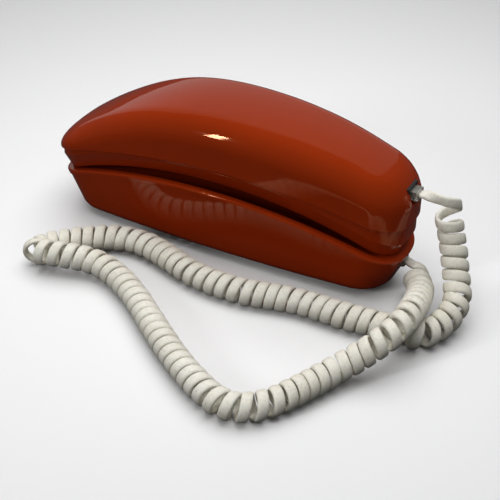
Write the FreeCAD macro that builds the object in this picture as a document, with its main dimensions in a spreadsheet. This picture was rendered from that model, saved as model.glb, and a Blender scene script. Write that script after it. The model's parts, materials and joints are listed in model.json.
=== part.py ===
"""Slim desk telephone with the keypad in the handset, as a parametric FreeCAD document.

Millimetres. The origin is on the table under the middle of the base, +X runs along the
telephone to the cord end, +Y away from the near side and +Z up.
"""
import FreeCAD, Part
import bisect
import itertools
import math
import os

import Sketcher

SHEET = "Sizes"

SIZES = {
    # plan outline, shared by both housings of the handset
    "handset_length": 214.0,
    "handset_width": 62.0,
    "widest_back": 33.0,
    "side_radius": 1126.0,
    "end_radius": 104.0,
    "corner_radius": 20.0,
    # side view of the handset, each line an arc by its top and its drop over half the length
    "crown_height": 87.6,
    "crown_forward": 16.5,
    "crown_drop": 30.1,
    "crown_side_radius": 150.0,
    "shoulder_radius": 7.0,
    "edge_height": 59.8,
    "edge_forward": 6.4,
    "edge_drop": 18.1,
    "shell_wall": 2.5,
    # inner housing of the handset
    "seam_step": 1.5,
    "seam_gap": 0.1,
    "face_height": 50.0,
    "face_drop": 25.5,
    "face_bevel": 9.0,
    "face_taper": 4.0,
    "face_wall": 2.2,
    # handset screws
    "post_x": 46.0,
    "post_y": 15.0,
    "post_diameter": 7.0,
    "post_seat": 57.2,
    "screw_diameter": 2.8,
    "screw_clearance": 0.05,
    "screw_head_diameter": 5.0,
    "screw_head_height": 2.0,
    "screw_head_seat": 50.0,
    "handset_screw_length": 16.0,
    # keypad
    "keypad_x": 1.0,
    "frame_length": 68.0,
    "frame_width": 36.0,
    "frame_face": 46.8,
    "frame_plate": 2.0,
    "frame_wall": 1.4,
    "frame_flange": 1.2,
    "frame_flange_seat": 52.3,
    "frame_flange_height": 1.5,
    "frame_clearance": 0.2,
    "row_pitch": 12.5,
    "column_pitch": 11.5,
    "first_row": -24.0,
    "key_length": 10.0,
    "key_width": 9.2,
    "key_proud": 2.0,
    "key_clearance": 0.2,
    "key_round": 1.2,
    "key_flange": 0.9,
    "key_flange_height": 1.2,
    "key_flange_lift": 0.2,
    "key_travel": 1.8,
    "key_stem_diameter": 4.0,
    "recall_x": 27.5,
    "recall_length": 7.0,
    "recall_width": 26.0,
    "mat_sheet": 1.0,
    "mat_rim": 3.1,
    "mat_rim_wall": 1.5,
    "mat_bore": 4.6,
    "mat_dome_diameter": 7.0,
    "mat_dome_height": 1.2,
    "stem_gap": 0.3,
    "board_thickness": 1.6,
    # ear and mouth units, each tilted to the arched face
    "receiver_setback": 35.0,
    "receiver_diameter": 33.0,
    "transmitter_setback": 38.0,
    "transmitter_diameter": 24.0,
    "capsule_height": 7.5,
    "capsule_dome": 3.2,
    "capsule_gap": 0.2,
    "collar_wall": 1.6,
    "ring_height": 2.4,
    "ring_lap": 2.2,
    "sound_hole": 2.4,
    "sound_ring": 6.5,
    "sound_outer_ring": 11.7,
    # modular sockets and plugs
    "jack_width": 11.6,
    "jack_height": 9.4,
    "jack_depth": 13.5,
    "jack_wall": 1.6,
    "jack_clearance": 0.15,
    "jack_recess": 0.8,
    "jack_flange": 1.2,
    "handset_jack_height": 60.5,
    "handset_jack_side": 1.0,
    "handset_jack_recess": 2.6,
    "base_jack_height": 15.0,
    "base_jack_side": 5.0,
    "base_jack_setback": 8.0,
    "plug_width": 7.6,
    "plug_height": 4.8,
    "plug_proud": 1.6,
    "plug_latch": 0.9,
    "plug_clearance": 0.2,
    # hull of the base
    "base_bottom": 3.0,
    "end_tuck": 20.0,
    "side_tuck": 12.0,
    "base_widest_back": 18.0,
    "end_slope": 0.389,
    "side_slope": 0.13,
    "hull_top": 52.0,
    "bottom_end_radius": 90.0,
    "base_corner_radius": 20.0,
    "bottom_round": 7.0,
    "hull_wall": 2.5,
    "rim_height": 45.5,
    "rim_drop": 21.2,
    "lip_height": 3.0,
    "lip_proud": 0.6,
    "lip_round": 1.2,
    "well_wall": 3.2,
    "deck_height": 33.7,
    "deck_drop": 6.9,
    "deck_wall": 2.5,
    # bottom cover, feet and screws
    "cover_inset": 8.5,
    "cover_thickness": 2.5,
    "cover_clearance": 0.2,
    "base_post_x": 76.0,
    "base_post_y": 8.0,
    "base_screw_length": 12.0,
    "foot_x": 62.0,
    "foot_y": 8.4,
    "foot_diameter": 10.0,
    "foot_stem_diameter": 4.0,
    # hook switch
    "plunger_x": 46.0,
    "plunger_diameter": 5.0,
    "plunger_gap": 0.3,
    "plunger_foot": 13.0,
    "plunger_travel": 4.0,
    "plunger_collar": 8.4,
    "plunger_collar_height": 1.5,
    "guide_wall": 2.0,
    "guide_rise": 3.0,
    "running_clearance": 0.08,
    "switch_length": 16.0,
    "switch_width": 12.0,
    "switch_height": 8.0,
    "spring_wire": 0.6,
    "spring_radius": 3.4,
    "spring_turns": 4.5,
    # bell
    "gong_x": -54.0,
    "gong_diameter": 34.0,
    "gong_wall": 1.2,
    "gong_rim": 12.0,
    "gong_height": 14.0,
    "gong_post_diameter": 8.0,
    "gong_stud": 4.0,
    "gong_screw_diameter": 8.0,
    "gong_screw_height": 1.8,
    "bracket_x": -20.0,
    "bracket_length": 32.0,
    "bracket_width": 27.0,
    "bracket_sheet": 1.5,
    "cheek_width": 16.0,
    "cheek_height": 18.0,
    "coil_height": 16.5,
    "coil_diameter": 15.0,
    "bobbin_flange": 1.2,
    "core_diameter": 5.0,
    "clapper_y": -12.0,
    "clapper_arm": 22.0,
    "clapper_ball": 4.4,
    "clapper_ball_height": 14.5,
    "clapper_sheet": 2.0,
    "clapper_lift": 0.3,
    "clapper_hub": 5.0,
    "clapper_pin": 2.0,
    # loudness wheel
    "wheel_x": 2.0,
    "wheel_y": 17.4,
    "wheel_diameter": 20.0,
    "wheel_height": 4.0,
    "wheel_foot": 10.0,
    "wheel_notches": 28.0,
    "wheel_notch": 1.2,
    "wheel_slot_gap": 0.8,
    "wheel_pin": 3.0,
    "wheel_pin_shoulder": 7.0,
    "wheel_clip": 6.0,
    "wheel_clip_height": 1.0,
    # network board
    "network_x": 42.5,
    "network_length": 58.0,
    "network_width": 24.0,
    "network_lift": 2.0,
    "standoff_diameter": 4.0,
    "transformer_size": 12.0,
    "transformer_height": 12.0,
    "capacitor_diameter": 6.0,
    "capacitor_height": 11.0,
    "capacitor_spread": 8.4,
    # curly cord
    "cord_wire": 2.8,
    "cord_outside": 14.5,
    "cord_turns": 98.0,
}

doc = FreeCAD.newDocument("desk_telephone")
sheet = doc.addObject("Spreadsheet::Sheet", SHEET)
for row, (alias, number) in enumerate(SIZES.items(), start=1):
    sheet.set(f"A{row}", alias)
    sheet.set(f"B{row}", str(number))
    sheet.setAlias(f"B{row}", alias)
doc.recompute()


class Size:
    """A formula of sheet cells, with the number that it gives."""

    def __init__(self, text, number):
        self.text = text
        self.number = number

    def __add__(self, other):
        other = as_size(other)
        return Size(f"({self.text} + {other.text})", self.number + other.number)

    def __sub__(self, other):
        other = as_size(other)
        return Size(f"({self.text} - {other.text})", self.number - other.number)

    def __mul__(self, other):
        other = as_size(other)
        return Size(f"({self.text} * {other.text})", self.number * other.number)

    def __truediv__(self, other):
        other = as_size(other)
        return Size(f"({self.text} / {other.text})", self.number / other.number)

    def __rtruediv__(self, other):
        return as_size(other) / self

    def __radd__(self, other):
        return as_size(other) + self

    def __rsub__(self, other):
        return as_size(other) - self

    def __rmul__(self, other):
        return as_size(other) * self

    def __neg__(self):
        return as_size(0) - self


def as_size(item):
    """Let plain numbers stand beside sheet formulas."""
    if isinstance(item, Size):
        return item
    return Size(repr(float(item)), float(item))


def root(item):
    """Square root of a sheet formula."""
    return Size(f"sqrt({item.text})", math.sqrt(item.number))


def angle_of(sine):
    """Angle in degrees whose sine is a sheet formula."""
    return Size(f"asin({sine.text})", math.degrees(math.asin(sine.number)))


class Cells:
    """Every cell of the sheet by its alias."""

    def __getattr__(self, alias):
        return Size(f"{SHEET}.{alias}", float(getattr(sheet, alias)))


S = Cells()
NODES = []


def bind(thing, **formulas):
    """Tie properties of an object to sheet formulas."""
    for name, formula in formulas.items():
        thing.setExpression(name.replace("__", "."), as_size(formula).text)


def place(thing, x=0, y=0, z=0):
    bind(thing, Placement__Base__x=x, Placement__Base__y=y, Placement__Base__z=z)
    return thing


def node(thing, label):
    """Name a finished sub-part; its label is its file name."""
    thing.Label = label
    NODES.append(thing)
    return thing


def box(name, length, width, height, x, y, z):
    """A block centred on x and y that stands on z."""
    thing = doc.addObject("Part::Box", name)
    bind(thing, Length=length, Width=width, Height=height)
    return place(thing, as_size(x) - as_size(length) / 2, as_size(y) - as_size(width) / 2, z)


def rod(name, diameter, height, x=0, y=0, z=0):
    """An upright cylinder on z."""
    thing = doc.addObject("Part::Cylinder", name)
    bind(thing, Radius=as_size(diameter) / 2, Height=height)
    return place(thing, x, y, z)


def cut(name, base, *tools):
    """One solid less the others."""
    thing = doc.addObject("Part::Cut", name)
    thing.Base = base
    thing.Tool = tools[0] if len(tools) == 1 else group(name + "_tools", *tools)
    return thing


def fuse(name, *shapes):
    thing = doc.addObject("Part::MultiFuse", name)
    thing.Shapes = list(shapes)
    return thing


def group(name, *shapes):
    """Separate solids kept together."""
    thing = doc.addObject("Part::Compound", name)
    thing.Links = list(shapes)
    return thing


def body(name):
    return doc.addObject("PartDesign::Body", name)


def sketch_on(owner, name, role, offset=0, lift=0):
    """A sketch on one of its body's origin planes, moved along the plane's normal and up in it."""
    sketch = owner.newObject("Sketcher::SketchObject", name)
    plane = [item for item in owner.Origin.OriginFeatures if item.Role == role][0]
    sketch.AttachmentSupport = (plane, "")
    sketch.MapMode = "FlatFace"
    bind(sketch, AttachmentOffset__Base__z=offset, AttachmentOffset__Base__y=lift)
    return sketch


def fix(sketch, *constraint, size):
    """Add one dimension to a sketch and tie it to the sheet."""
    index = sketch.addConstraint(Sketcher.Constraint(*constraint, size.number))
    sketch.setExpression(f"Constraints[{index}]", size.text)


def fix_point(sketch, geometry, vertex, x, y):
    fix(sketch, "DistanceX", -1, 1, geometry, vertex, size=as_size(x))
    fix(sketch, "DistanceY", -1, 1, geometry, vertex, size=as_size(y))


def chain(sketch, first, count):
    """Join the ends of consecutive edges into a closed loop."""
    for step in range(count):
        after = first + (step + 1) % count
        sketch.addConstraint(Sketcher.Constraint("Coincident", first + step, 2, after, 1))


def polygon(sketch, corners):
    """A closed loop of straight edges through sheet-driven corners."""
    first = sketch.GeometryCount
    points = [FreeCAD.Vector(as_size(x).number, as_size(y).number, 0) for x, y in corners]
    for step, point in enumerate(points):
        sketch.addGeometry(Part.LineSegment(point, points[(step + 1) % len(points)]))
    chain(sketch, first, len(points))
    for step, (x, y) in enumerate(corners):
        fix_point(sketch, first + step, 1, x, y)


def rectangle(sketch, length, width, x=0, y=0):
    """A rectangle centred on x, y."""
    half_length = as_size(length) / 2
    half_width = as_size(width) / 2
    polygon(sketch, [(x - half_length, y - half_width), (x + half_length, y - half_width),
                     (x + half_length, y + half_width), (x - half_length, y + half_width)])


def circle(sketch, diameter, x=0, y=0):
    centre = FreeCAD.Vector(as_size(x).number, as_size(y).number, 0)
    radius = as_size(diameter) / 2
    index = sketch.addGeometry(Part.Circle(centre, FreeCAD.Vector(0, 0, 1), radius.number))
    fix(sketch, "Radius", index, size=radius)
    fix_point(sketch, index, 3, x, y)


def pad(owner, sketch, length, name="pad"):
    feature = owner.newObject("PartDesign::Pad", owner.Name + "_" + name)
    feature.Profile = sketch
    bind(feature, Length=length)
    return feature


def revolve(owner, sketch):
    """Turn a half profile about the sketch's vertical axis."""
    feature = owner.newObject("PartDesign::Revolution", owner.Name + "_turned")
    feature.Profile = sketch
    feature.ReferenceAxis = (sketch, ["V_Axis"])
    feature.Angle = 360
    return feature


def turned(name, corners):
    """A turned piece from the corners of its half section, as radius and height."""
    owner = body(name)
    sketch = sketch_on(owner, name + "_section", "XZ_Plane")
    polygon(sketch, corners)
    revolve(owner, sketch)
    return owner


def edges_where(feature, test):
    """Names of a feature's edges that pass a test."""
    doc.recompute()
    shape = feature.Shape
    return [f"Edge{index}" for index, edge in enumerate(shape.Edges, start=1) if test(edge)]


def dress(owner, kind, feature, edges, **formulas):
    """A fillet or chamfer on chosen edges."""
    dressed = owner.newObject("PartDesign::" + kind, f"{feature.Name}_{kind.lower()}")
    dressed.Base = (feature, edges)
    bind(dressed, **formulas)
    doc.recompute()
    return dressed


def edges_of_face(feature, choose):
    """Edges round the face that stands first by a measure."""
    doc.recompute()
    face = max(feature.Shape.Faces, key=choose)
    return edges_where(feature, lambda edge: any(edge.isSame(other) for other in face.Edges))


class Outline:
    """A boat-like plan outline: two long side arcs, two blunt end arcs and four corner arcs."""

    def __init__(self, length, width, back, side, end, corner, inset):
        self.side_centre = (-as_size(back), side - width / 2)
        self.end_x = length / 2 - end
        self.side = side - inset
        self.end = end - inset
        self.corner = corner - inset

    def near_corner(self, toward):
        """Centre and touching points of the near corner arc at the nose (1) or the ear (-1)."""
        end_centre = FreeCAD.Vector(toward * self.end_x.number, 0, 0)
        side_centre = FreeCAD.Vector(self.side_centre[0].number, self.side_centre[1].number, 0)
        end_reach = self.end.number - self.corner.number
        side_reach = self.side.number - self.corner.number
        gap = side_centre - end_centre
        along = (end_reach ** 2 - side_reach ** 2 + gap.Length ** 2) / (2 * gap.Length)
        across = math.sqrt(end_reach ** 2 - along ** 2)
        unit = FreeCAD.Vector(gap).normalize()
        normal = FreeCAD.Vector(unit.y, -unit.x, 0) * toward
        centre = end_centre + unit * along + normal * across
        on_end = centre + (centre - end_centre).normalize() * self.corner.number
        on_side = centre + (centre - side_centre).normalize() * self.corner.number
        return centre, on_end, on_side

    def draw(self, sketch):
        """Eight tangent arcs, counter-clockwise from the nose end."""
        nose, nose_end, nose_side = self.near_corner(1)
        ear, ear_end, ear_side = self.near_corner(-1)
        side_x, side_y = self.side_centre
        zero = as_size(0)
        arcs = [
            ((self.end_x, zero, self.end), nose_end, mirrored(nose_end)),
            (mirrored(nose), mirrored(nose_end), mirrored(nose_side)),
            ((side_x, -side_y, self.side), mirrored(nose_side), mirrored(ear_side)),
            (mirrored(ear), mirrored(ear_side), mirrored(ear_end)),
            ((-self.end_x, zero, self.end), mirrored(ear_end), ear_end),
            (ear, ear_end, ear_side),
            ((side_x, side_y, self.side), ear_side, nose_side),
            (nose, nose_side, nose_end),
        ]
        for index, (middle, start, stop) in enumerate(arcs):
            corner = isinstance(middle, FreeCAD.Vector)
            centre = middle if corner else FreeCAD.Vector(middle[0].number, middle[1].number, 0)
            radius = self.corner if corner else middle[2]
            first = math.atan2(start.y - centre.y, start.x - centre.x)
            last = math.atan2(stop.y - centre.y, stop.x - centre.x)
            round_edge = Part.Circle(centre, FreeCAD.Vector(0, 0, 1), radius.number)
            sketch.addGeometry(Part.ArcOfCircle(round_edge, first, last))
            fix(sketch, "Radius", index, size=radius)
            if not corner:
                fix_point(sketch, index, 3, middle[0], middle[1])
        for index in range(len(arcs)):
            after = (index + 1) % len(arcs)
            sketch.addConstraint(Sketcher.Constraint("Tangent", index, 2, after, 1))


def mirrored(point):
    """The same place on the far side."""
    return FreeCAD.Vector(point.x, -point.y, 0)


def handset_outline(inset):
    return Outline(S.handset_length, S.handset_width, S.widest_back, S.side_radius,
                   S.end_radius, S.corner_radius, inset)


class Arch:
    """A long arc in the side view, by its highest point and its radius."""

    def __init__(self, height, radius, forward=0):
        self.height = height
        self.radius = radius
        self.forward = as_size(forward)

    def raised(self, step):
        """The concentric arc, a step further out."""
        return Arch(self.height + step, self.radius + step, self.forward)

    def at(self, x):
        """Height of the arc over x."""
        run = as_size(x) - self.forward
        return self.height - self.radius + root(self.radius * self.radius - run * run)


HALF_LENGTH = S.handset_length / 2
HALF_WIDTH = S.handset_width / 2
OVERREACH = 1.2


def bow(drop):
    """Radius of an arc that falls by a drop over half the handset's length."""
    return (HALF_LENGTH * HALF_LENGTH + drop * drop) / (2 * drop)


CROWN = Arch(S.crown_height, bow(S.crown_drop), S.crown_forward)
EDGE = Arch(S.edge_height, bow(S.edge_drop), S.edge_forward)
FACE = Arch(S.face_height, bow(S.face_drop))
RIM = Arch(S.rim_height, bow(S.rim_drop))
DECK = Arch(S.deck_height, bow(S.deck_drop))


def arch_profile(sketch, arch, reach, far):
    """The closed space between an arch and a level, as wide as a reach to both sides."""
    ends = [(-reach, arch.at(-reach)), (reach, arch.at(reach))]
    left, right = [FreeCAD.Vector(x.number, z.number, 0) for x, z in ends]
    centre = FreeCAD.Vector(arch.forward.number, (arch.height - arch.radius).number, 0)
    round_edge = Part.Circle(centre, FreeCAD.Vector(0, 0, 1), arch.radius.number)
    first = math.atan2(right.y - centre.y, right.x - centre.x)
    last = math.atan2(left.y - centre.y, left.x - centre.x)
    sketch.addGeometry(Part.ArcOfCircle(round_edge, first, last))
    corners = [left, FreeCAD.Vector(left.x, far.number, 0), FreeCAD.Vector(right.x, far.number, 0), right]
    for start, stop in zip(corners, corners[1:]):
        sketch.addGeometry(Part.LineSegment(start, stop))
    chain(sketch, 0, 4)
    fix_point(sketch, 0, 3, arch.forward, arch.height - arch.radius)
    fix(sketch, "Radius", 0, size=arch.radius)
    fix(sketch, "DistanceX", -1, 1, 0, 1, size=reach)
    fix(sketch, "DistanceX", -1, 1, 0, 2, size=-reach)
    fix_point(sketch, 2, 1, -reach, far)
    fix_point(sketch, 2, 2, reach, far)


def trim(owner, name, arch, keep):
    """Cut a body along an arch and keep what is below or above it."""
    sketch = sketch_on(owner, f"{owner.Name}_{name}_line", "XZ_Plane")
    far = as_size(2 * S.handset_length) if keep == "below" else -S.handset_length
    arch_profile(sketch, arch, HALF_LENGTH * OVERREACH, far)
    feature = owner.newObject("PartDesign::Pocket", f"{owner.Name}_{name}")
    feature.Profile = sketch
    feature.Type = "ThroughAll"
    feature.SideType = "Symmetric"
    doc.recompute()
    return feature


def outline_block(name, inset):
    """An upright block of the handset's plan."""
    owner = body(name)
    sketch = sketch_on(owner, name + "_plan", "XY_Plane")
    handset_outline(inset).draw(sketch)
    pad(owner, sketch, S.crown_height * OVERREACH)
    return owner


def highest(face):
    return face.CenterOfMass.z


def lowest(face):
    return -face.CenterOfMass.z


CROWN_SWEEP = 120


def crown_cut(owner, inset):
    """Cut a body to the crown, which is arched along the handset and less so across it."""
    sketch = sketch_on(owner, owner.Name + "_crown_line", "YZ_Plane", CROWN.forward,
                       CROWN.height - CROWN.radius)
    across = Arch(CROWN.radius, S.crown_side_radius).raised(-inset)
    arch_profile(sketch, across, HALF_WIDTH * OVERREACH, CROWN.radius + S.handset_width)
    feature = owner.newObject("PartDesign::Groove", owner.Name + "_crown")
    feature.Profile = sketch
    feature.ReferenceAxis = (sketch, ["H_Axis"])
    feature.Midplane = True
    feature.Angle = CROWN_SWEEP
    doc.recompute()
    return feature


def back_block(name, inset):
    """The handset's outside, or the room inside it where inset is a wall."""
    owner = outline_block(name, inset)
    top = crown_cut(owner, as_size(inset))
    dress(owner, "Fillet", top, edges_of_face(top, highest), Radius=S.shoulder_radius - inset)
    return owner


def handset_posts(name, diameter, low, high):
    """Four upright rods at the handset's screws."""
    return group(name, *[rod(f"{name}_{index}", diameter, high - low, x, y, low)
                         for index, (x, y) in enumerate(corners_at(S.post_x, S.post_y))])


def corners_at(x, y):
    """The four corners of a rectangle about the origin."""
    return [(x, y), (x, -y), (-x, y), (-x, -y)]


def end_window(name, arm, width, height, x, y, z):
    """A rectangular hole through an end wall, along X."""
    return box(name, arm, width, height, x, y, z - as_size(height) / 2)


def back_housing():
    """The arched outer shell, with four screw posts and the socket's window."""
    outside = back_block("back_outside", as_size(0))
    trim(outside, "edge", EDGE, "above")
    room = back_block("back_room", S.shell_wall)
    posts = handset_posts("back_posts", S.post_diameter, S.post_seat, S.crown_height)
    shell = cut("back_shell", outside, cut("back_hollow", room, posts))
    pilots = handset_posts("back_pilots", S.screw_diameter + 2 * S.screw_clearance,
                           S.post_seat - 1, S.screw_head_seat + S.handset_screw_length + 0.5)
    window = end_window("back_window", 6 * S.shell_wall, S.jack_width + 2 * S.jack_clearance,
                        S.jack_height + 2 * S.jack_clearance, HALF_LENGTH, S.handset_jack_side,
                        S.handset_jack_height)
    node(cut("back_housing", shell, pilots, window), "handset_back_housing")


def face_block(name, inset, arch, share):
    """The inner housing's outside, or the room inside it with a share of the steep bevel."""
    owner = outline_block(name, inset)
    bottom = trim(owner, "face", arch, "above")
    bevel = dress(owner, "Chamfer", bottom, edges_of_face(bottom, lowest), Size=share * S.face_bevel,
                  Size2=share * S.face_taper)
    bevel.ChamferType = "Two distances"
    doc.recompute()
    return owner


RECEIVER_X = S.receiver_setback - HALF_LENGTH
TRANSMITTER_X = HALF_LENGTH - S.transmitter_setback


def on_face(thing, x):
    """Stand a piece that was made upright on the arched face over x."""
    sine = as_size(x) / FACE.radius
    cosine = root(1 - sine * sine)
    thing.Placement = FreeCAD.Placement(FreeCAD.Vector(), FreeCAD.Rotation(FreeCAD.Vector(0, 1, 0), 10))
    bind(thing, Placement__Rotation__Angle=angle_of(sine))
    return place(thing, x, 0, FACE.height - FACE.radius + FACE.radius * cosine)


def collar(name, diameter, x):
    """The round wall that a capsule drops into."""
    bore = as_size(diameter) + 2 * S.capsule_gap
    outer = bore + 2 * S.collar_wall
    high = S.face_wall + S.capsule_height
    return on_face(turned(name, [(bore / 2, S.face_wall / 2), (outer / 2, S.face_wall / 2),
                                 (outer / 2, high), (bore / 2, high)]), x)


def sound_holes(name, x, rings):
    """Round holes in rings about a capsule's centre, given as radius and count."""
    holes = [rod(name + "_centre", S.sound_hole, 4 * S.face_wall, 0, 0, -2 * S.face_wall)]
    for ring, (radius, count) in enumerate(rings):
        for step in range(count):
            turn = 2 * math.pi * step / count
            holes.append(rod(f"{name}_{ring}_{step}", S.sound_hole, 4 * S.face_wall,
                             radius * math.cos(turn), radius * math.sin(turn), -2 * S.face_wall))
    return on_face(group(name, *holes), x)


def face_housing():
    """The inner shell: bevelled tray with keypad window, sound holes, collars and posts."""
    outside = face_block("face_outside", S.seam_step, FACE, as_size(1))
    trim(outside, "seam", EDGE.raised(-S.seam_gap), "below")
    steep, flat = 1 / S.face_taper, 1 / S.face_bevel
    share = 1 - S.face_wall * (steep + flat - root(steep * steep + flat * flat))
    room = face_block("face_room", S.seam_step + S.face_wall, FACE.raised(S.face_wall), share)
    tray = cut("face_tray", outside, room)
    floor = FACE.at(S.post_x + S.post_diameter / 2)
    posts = handset_posts("face_posts", S.post_diameter, floor + S.face_wall / 2, S.post_seat)
    whole = fuse("face_whole", tray, posts, collar("ear_collar", S.receiver_diameter, RECEIVER_X),
                 collar("mouth_collar", S.transmitter_diameter, TRANSMITTER_X))
    window = box("keypad_window", S.frame_length + 2 * S.frame_clearance,
                 S.frame_width + 2 * S.frame_clearance, S.face_height, S.keypad_x, 0,
                 S.face_height / 2)
    bores = handset_posts("face_bores", S.screw_diameter + 2 * S.screw_clearance, floor - 5,
                          S.post_seat + 1)
    recesses = handset_posts("face_recesses", S.screw_head_diameter + 8 * S.screw_clearance,
                             floor - 5, S.screw_head_seat)
    ear = sound_holes("ear_holes", RECEIVER_X, [(S.sound_ring, 6), (S.sound_outer_ring, 12)])
    mouth = sound_holes("mouth_holes", TRANSMITTER_X, [(S.sound_ring, 6)])
    node(cut("face_housing", whole, window, bores, recesses, ear, mouth), "handset_face_housing")


RECESS_REACH = 0.6
RECESS_SLOT = 0.15


def screw(name, head, head_height, shank, length, x, y, seat):
    """A pan-head screw with its head below the seat and a cross recess in it."""
    shaft = rod(name + "_shank", shank, length, x, y, seat)
    top = rod(name + "_head", head, head_height, x, y, seat - head_height)
    slots = [box(f"{name}_slot_{index}", long, wide, as_size(head_height) / 2, x, y, seat - head_height)
             for index, (long, wide) in enumerate([(head * RECESS_REACH, head * RECESS_SLOT),
                                                       (head * RECESS_SLOT, head * RECESS_REACH)])]
    return cut(name, fuse(name + "_whole", shaft, top), *slots)


def handset_screws():
    screws = [screw(f"handset_screw_{index}", S.screw_head_diameter, S.screw_head_height, S.screw_diameter,
                    S.handset_screw_length, x, y, S.screw_head_seat)
              for index, (x, y) in enumerate(corners_at(S.post_x, S.post_y))]
    node(group("handset_screw_set", *screws), "handset_screws")


KEY_ROWS = [["1", "2", "3"], ["4", "5", "6"], ["7", "8", "9"], ["star", "0", "hash"]]


def key_places():
    """Name, x and y of every key; the first row is nearest the ear unit."""
    for row_number, row in enumerate(KEY_ROWS):
        for column, name in enumerate(row):
            yield name, S.first_row + row_number * S.row_pitch, (column - 1) * S.column_pitch


def button_sizes():
    """Name, x, y, length and width of the keys and of the recall bar."""
    for name, x, y in key_places():
        yield "key_" + name, x, y, S.key_length, S.key_width
    yield "recall_button", S.recall_x, as_size(0), S.recall_length, S.recall_width


FRAME_TOP = S.frame_flange_seat + S.frame_flange_height
FLANGE_FOOT = S.frame_face + S.frame_plate + S.key_flange_lift
STEM_TOP = FRAME_TOP + S.mat_sheet + S.mat_rim - S.key_travel - S.stem_gap


def keypad_frame():
    """The trim plate with a window for each button, standing in the face's opening."""
    plate = box("frame_block", S.frame_length, S.frame_width, FRAME_TOP - S.frame_face, S.keypad_x, 0,
                S.frame_face)
    flange = box("frame_flange_plate", S.frame_length + 2 * S.frame_flange,
                 S.frame_width + 2 * S.frame_flange, S.frame_flange_height, S.keypad_x, 0,
                 S.frame_flange_seat)
    room = box("frame_room", S.frame_length - 2 * S.frame_wall, S.frame_width - 2 * S.frame_wall,
               S.face_height, S.keypad_x, 0, S.frame_face + S.frame_plate)
    windows = [box(f"{name}_window", length + 2 * S.key_clearance, width + 2 * S.key_clearance,
                   4 * S.frame_plate, x, y, S.frame_face - S.frame_plate)
               for name, x, y, length, width in button_sizes()]
    node(cut("frame", fuse("frame_whole", plate, flange), room, *windows), "keypad_frame")


def buttons():
    """Keys and recall bar: a rounded cap, a flange behind the frame and a stem to the board."""
    for name, x, y, length, width in button_sizes():
        owner = body(name + "_cap")
        sketch = sketch_on(owner, name + "_cap_plan", "XY_Plane", S.frame_face - S.key_proud)
        rectangle(sketch, length, width, x, y)
        cap = pad(owner, sketch, S.key_proud + S.frame_plate + S.key_flange_lift)
        dress(owner, "Fillet", cap, edges_of_face(cap, lowest), Radius=S.key_round)
        flange = box(name + "_flange", length + S.key_flange, width + S.key_flange, S.key_flange_height,
                     x, y, FLANGE_FOOT)
        stem = rod(name + "_stem", S.key_stem_diameter, STEM_TOP - FLANGE_FOOT, x, y, FLANGE_FOOT)
        node(fuse(name, owner, flange, stem), name)


def keypad_mat():
    """The rubber sheet on the frame, with a collar round each stem and a rim for the board."""
    length = S.frame_length + 2 * S.frame_flange
    width = S.frame_width + 2 * S.frame_flange
    block = box("mat_block", length, width, S.mat_sheet + S.mat_rim, S.keypad_x, 0, FRAME_TOP)
    room = box("mat_room", length - 2 * S.mat_rim_wall, width - 2 * S.mat_rim_wall, S.mat_rim * 2,
               S.keypad_x, 0, FRAME_TOP + S.mat_sheet)
    domes = []
    bores = []
    for name, x, y, _, _ in button_sizes():
        domes.append(rod(name + "_dome", S.mat_dome_diameter, S.mat_dome_height + S.mat_sheet / 2, x, y,
                         FRAME_TOP - S.mat_dome_height))
        bores.append(rod(name + "_bore", S.mat_bore, S.mat_rim * 2, x, y, FRAME_TOP - S.mat_rim))
    tray = cut("mat_tray", block, room)
    node(cut("mat", fuse("mat_whole", tray, *domes), *bores), "keypad_mat")


def keypad_board():
    """The circuit board on the mat's rim."""
    board = box("keypad_board_plate", S.frame_length + 2 * S.frame_flange,
                S.frame_width + 2 * S.frame_flange, S.board_thickness, S.keypad_x, 0,
                FRAME_TOP + S.mat_sheet + S.mat_rim)
    node(board, "keypad_board")


def capsule(name, label, diameter, x):
    """An ear or mouth unit and the ring that holds it in its collar."""
    radius = as_size(diameter) / 2
    neck = radius - S.ring_lap
    foot = S.face_wall + S.capsule_gap / 2
    high = S.face_wall + S.capsule_height
    unit = turned(name, [(0, foot), (radius, foot), (radius, high - S.capsule_gap),
                         (neck - S.capsule_gap, high - S.capsule_gap),
                         (neck - S.capsule_gap, high + S.capsule_dome / 2),
                         (neck / 2, high + S.capsule_dome), (0, high + S.capsule_dome)])
    node(on_face(unit, x), label + "_capsule")
    outer = radius + S.capsule_gap + S.collar_wall
    ring = turned(name + "_ring", [(neck, high), (outer, high), (outer, high + S.ring_height),
                                   (neck, high + S.ring_height)])
    node(on_face(ring, x), label + "_ring")


def socket(name, x, y, z, toward):
    """A modular socket whose mouth faces +X (1) or -X (-1) at x."""
    middle = x - toward * S.jack_depth / 2
    block = box(name + "_block", S.jack_depth, S.jack_width, S.jack_height, middle, y, z - S.jack_height / 2)
    mouth = box(name + "_mouth", S.jack_depth, S.jack_width - 2 * S.jack_wall,
                S.jack_height - 2 * S.jack_wall, middle + toward * S.jack_wall, y,
                z - S.jack_height / 2 + S.jack_wall)
    return block, mouth


HANDSET_MOUTH = HALF_LENGTH - S.handset_jack_recess
BOTTOM_LENGTH = S.handset_length - S.end_tuck
BOTTOM_WIDTH = S.handset_width - S.side_tuck


def handset_jack():
    """The socket in the handset's end wall, with a flange behind the wall."""
    block, mouth = socket("handset_socket", HANDSET_MOUTH, S.handset_jack_side, S.handset_jack_height, 1)
    behind = HALF_LENGTH - S.shell_wall - S.jack_flange
    flange = box("handset_socket_flange", S.jack_flange, S.jack_width + 2 * S.jack_flange,
                 S.jack_height / 2 + S.jack_flange, behind, S.handset_jack_side,
                 S.handset_jack_height - S.jack_height / 2 - S.jack_flange)
    node(cut("handset_socket", fuse("handset_socket_whole", block, flange), mouth), "handset_jack")


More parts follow.
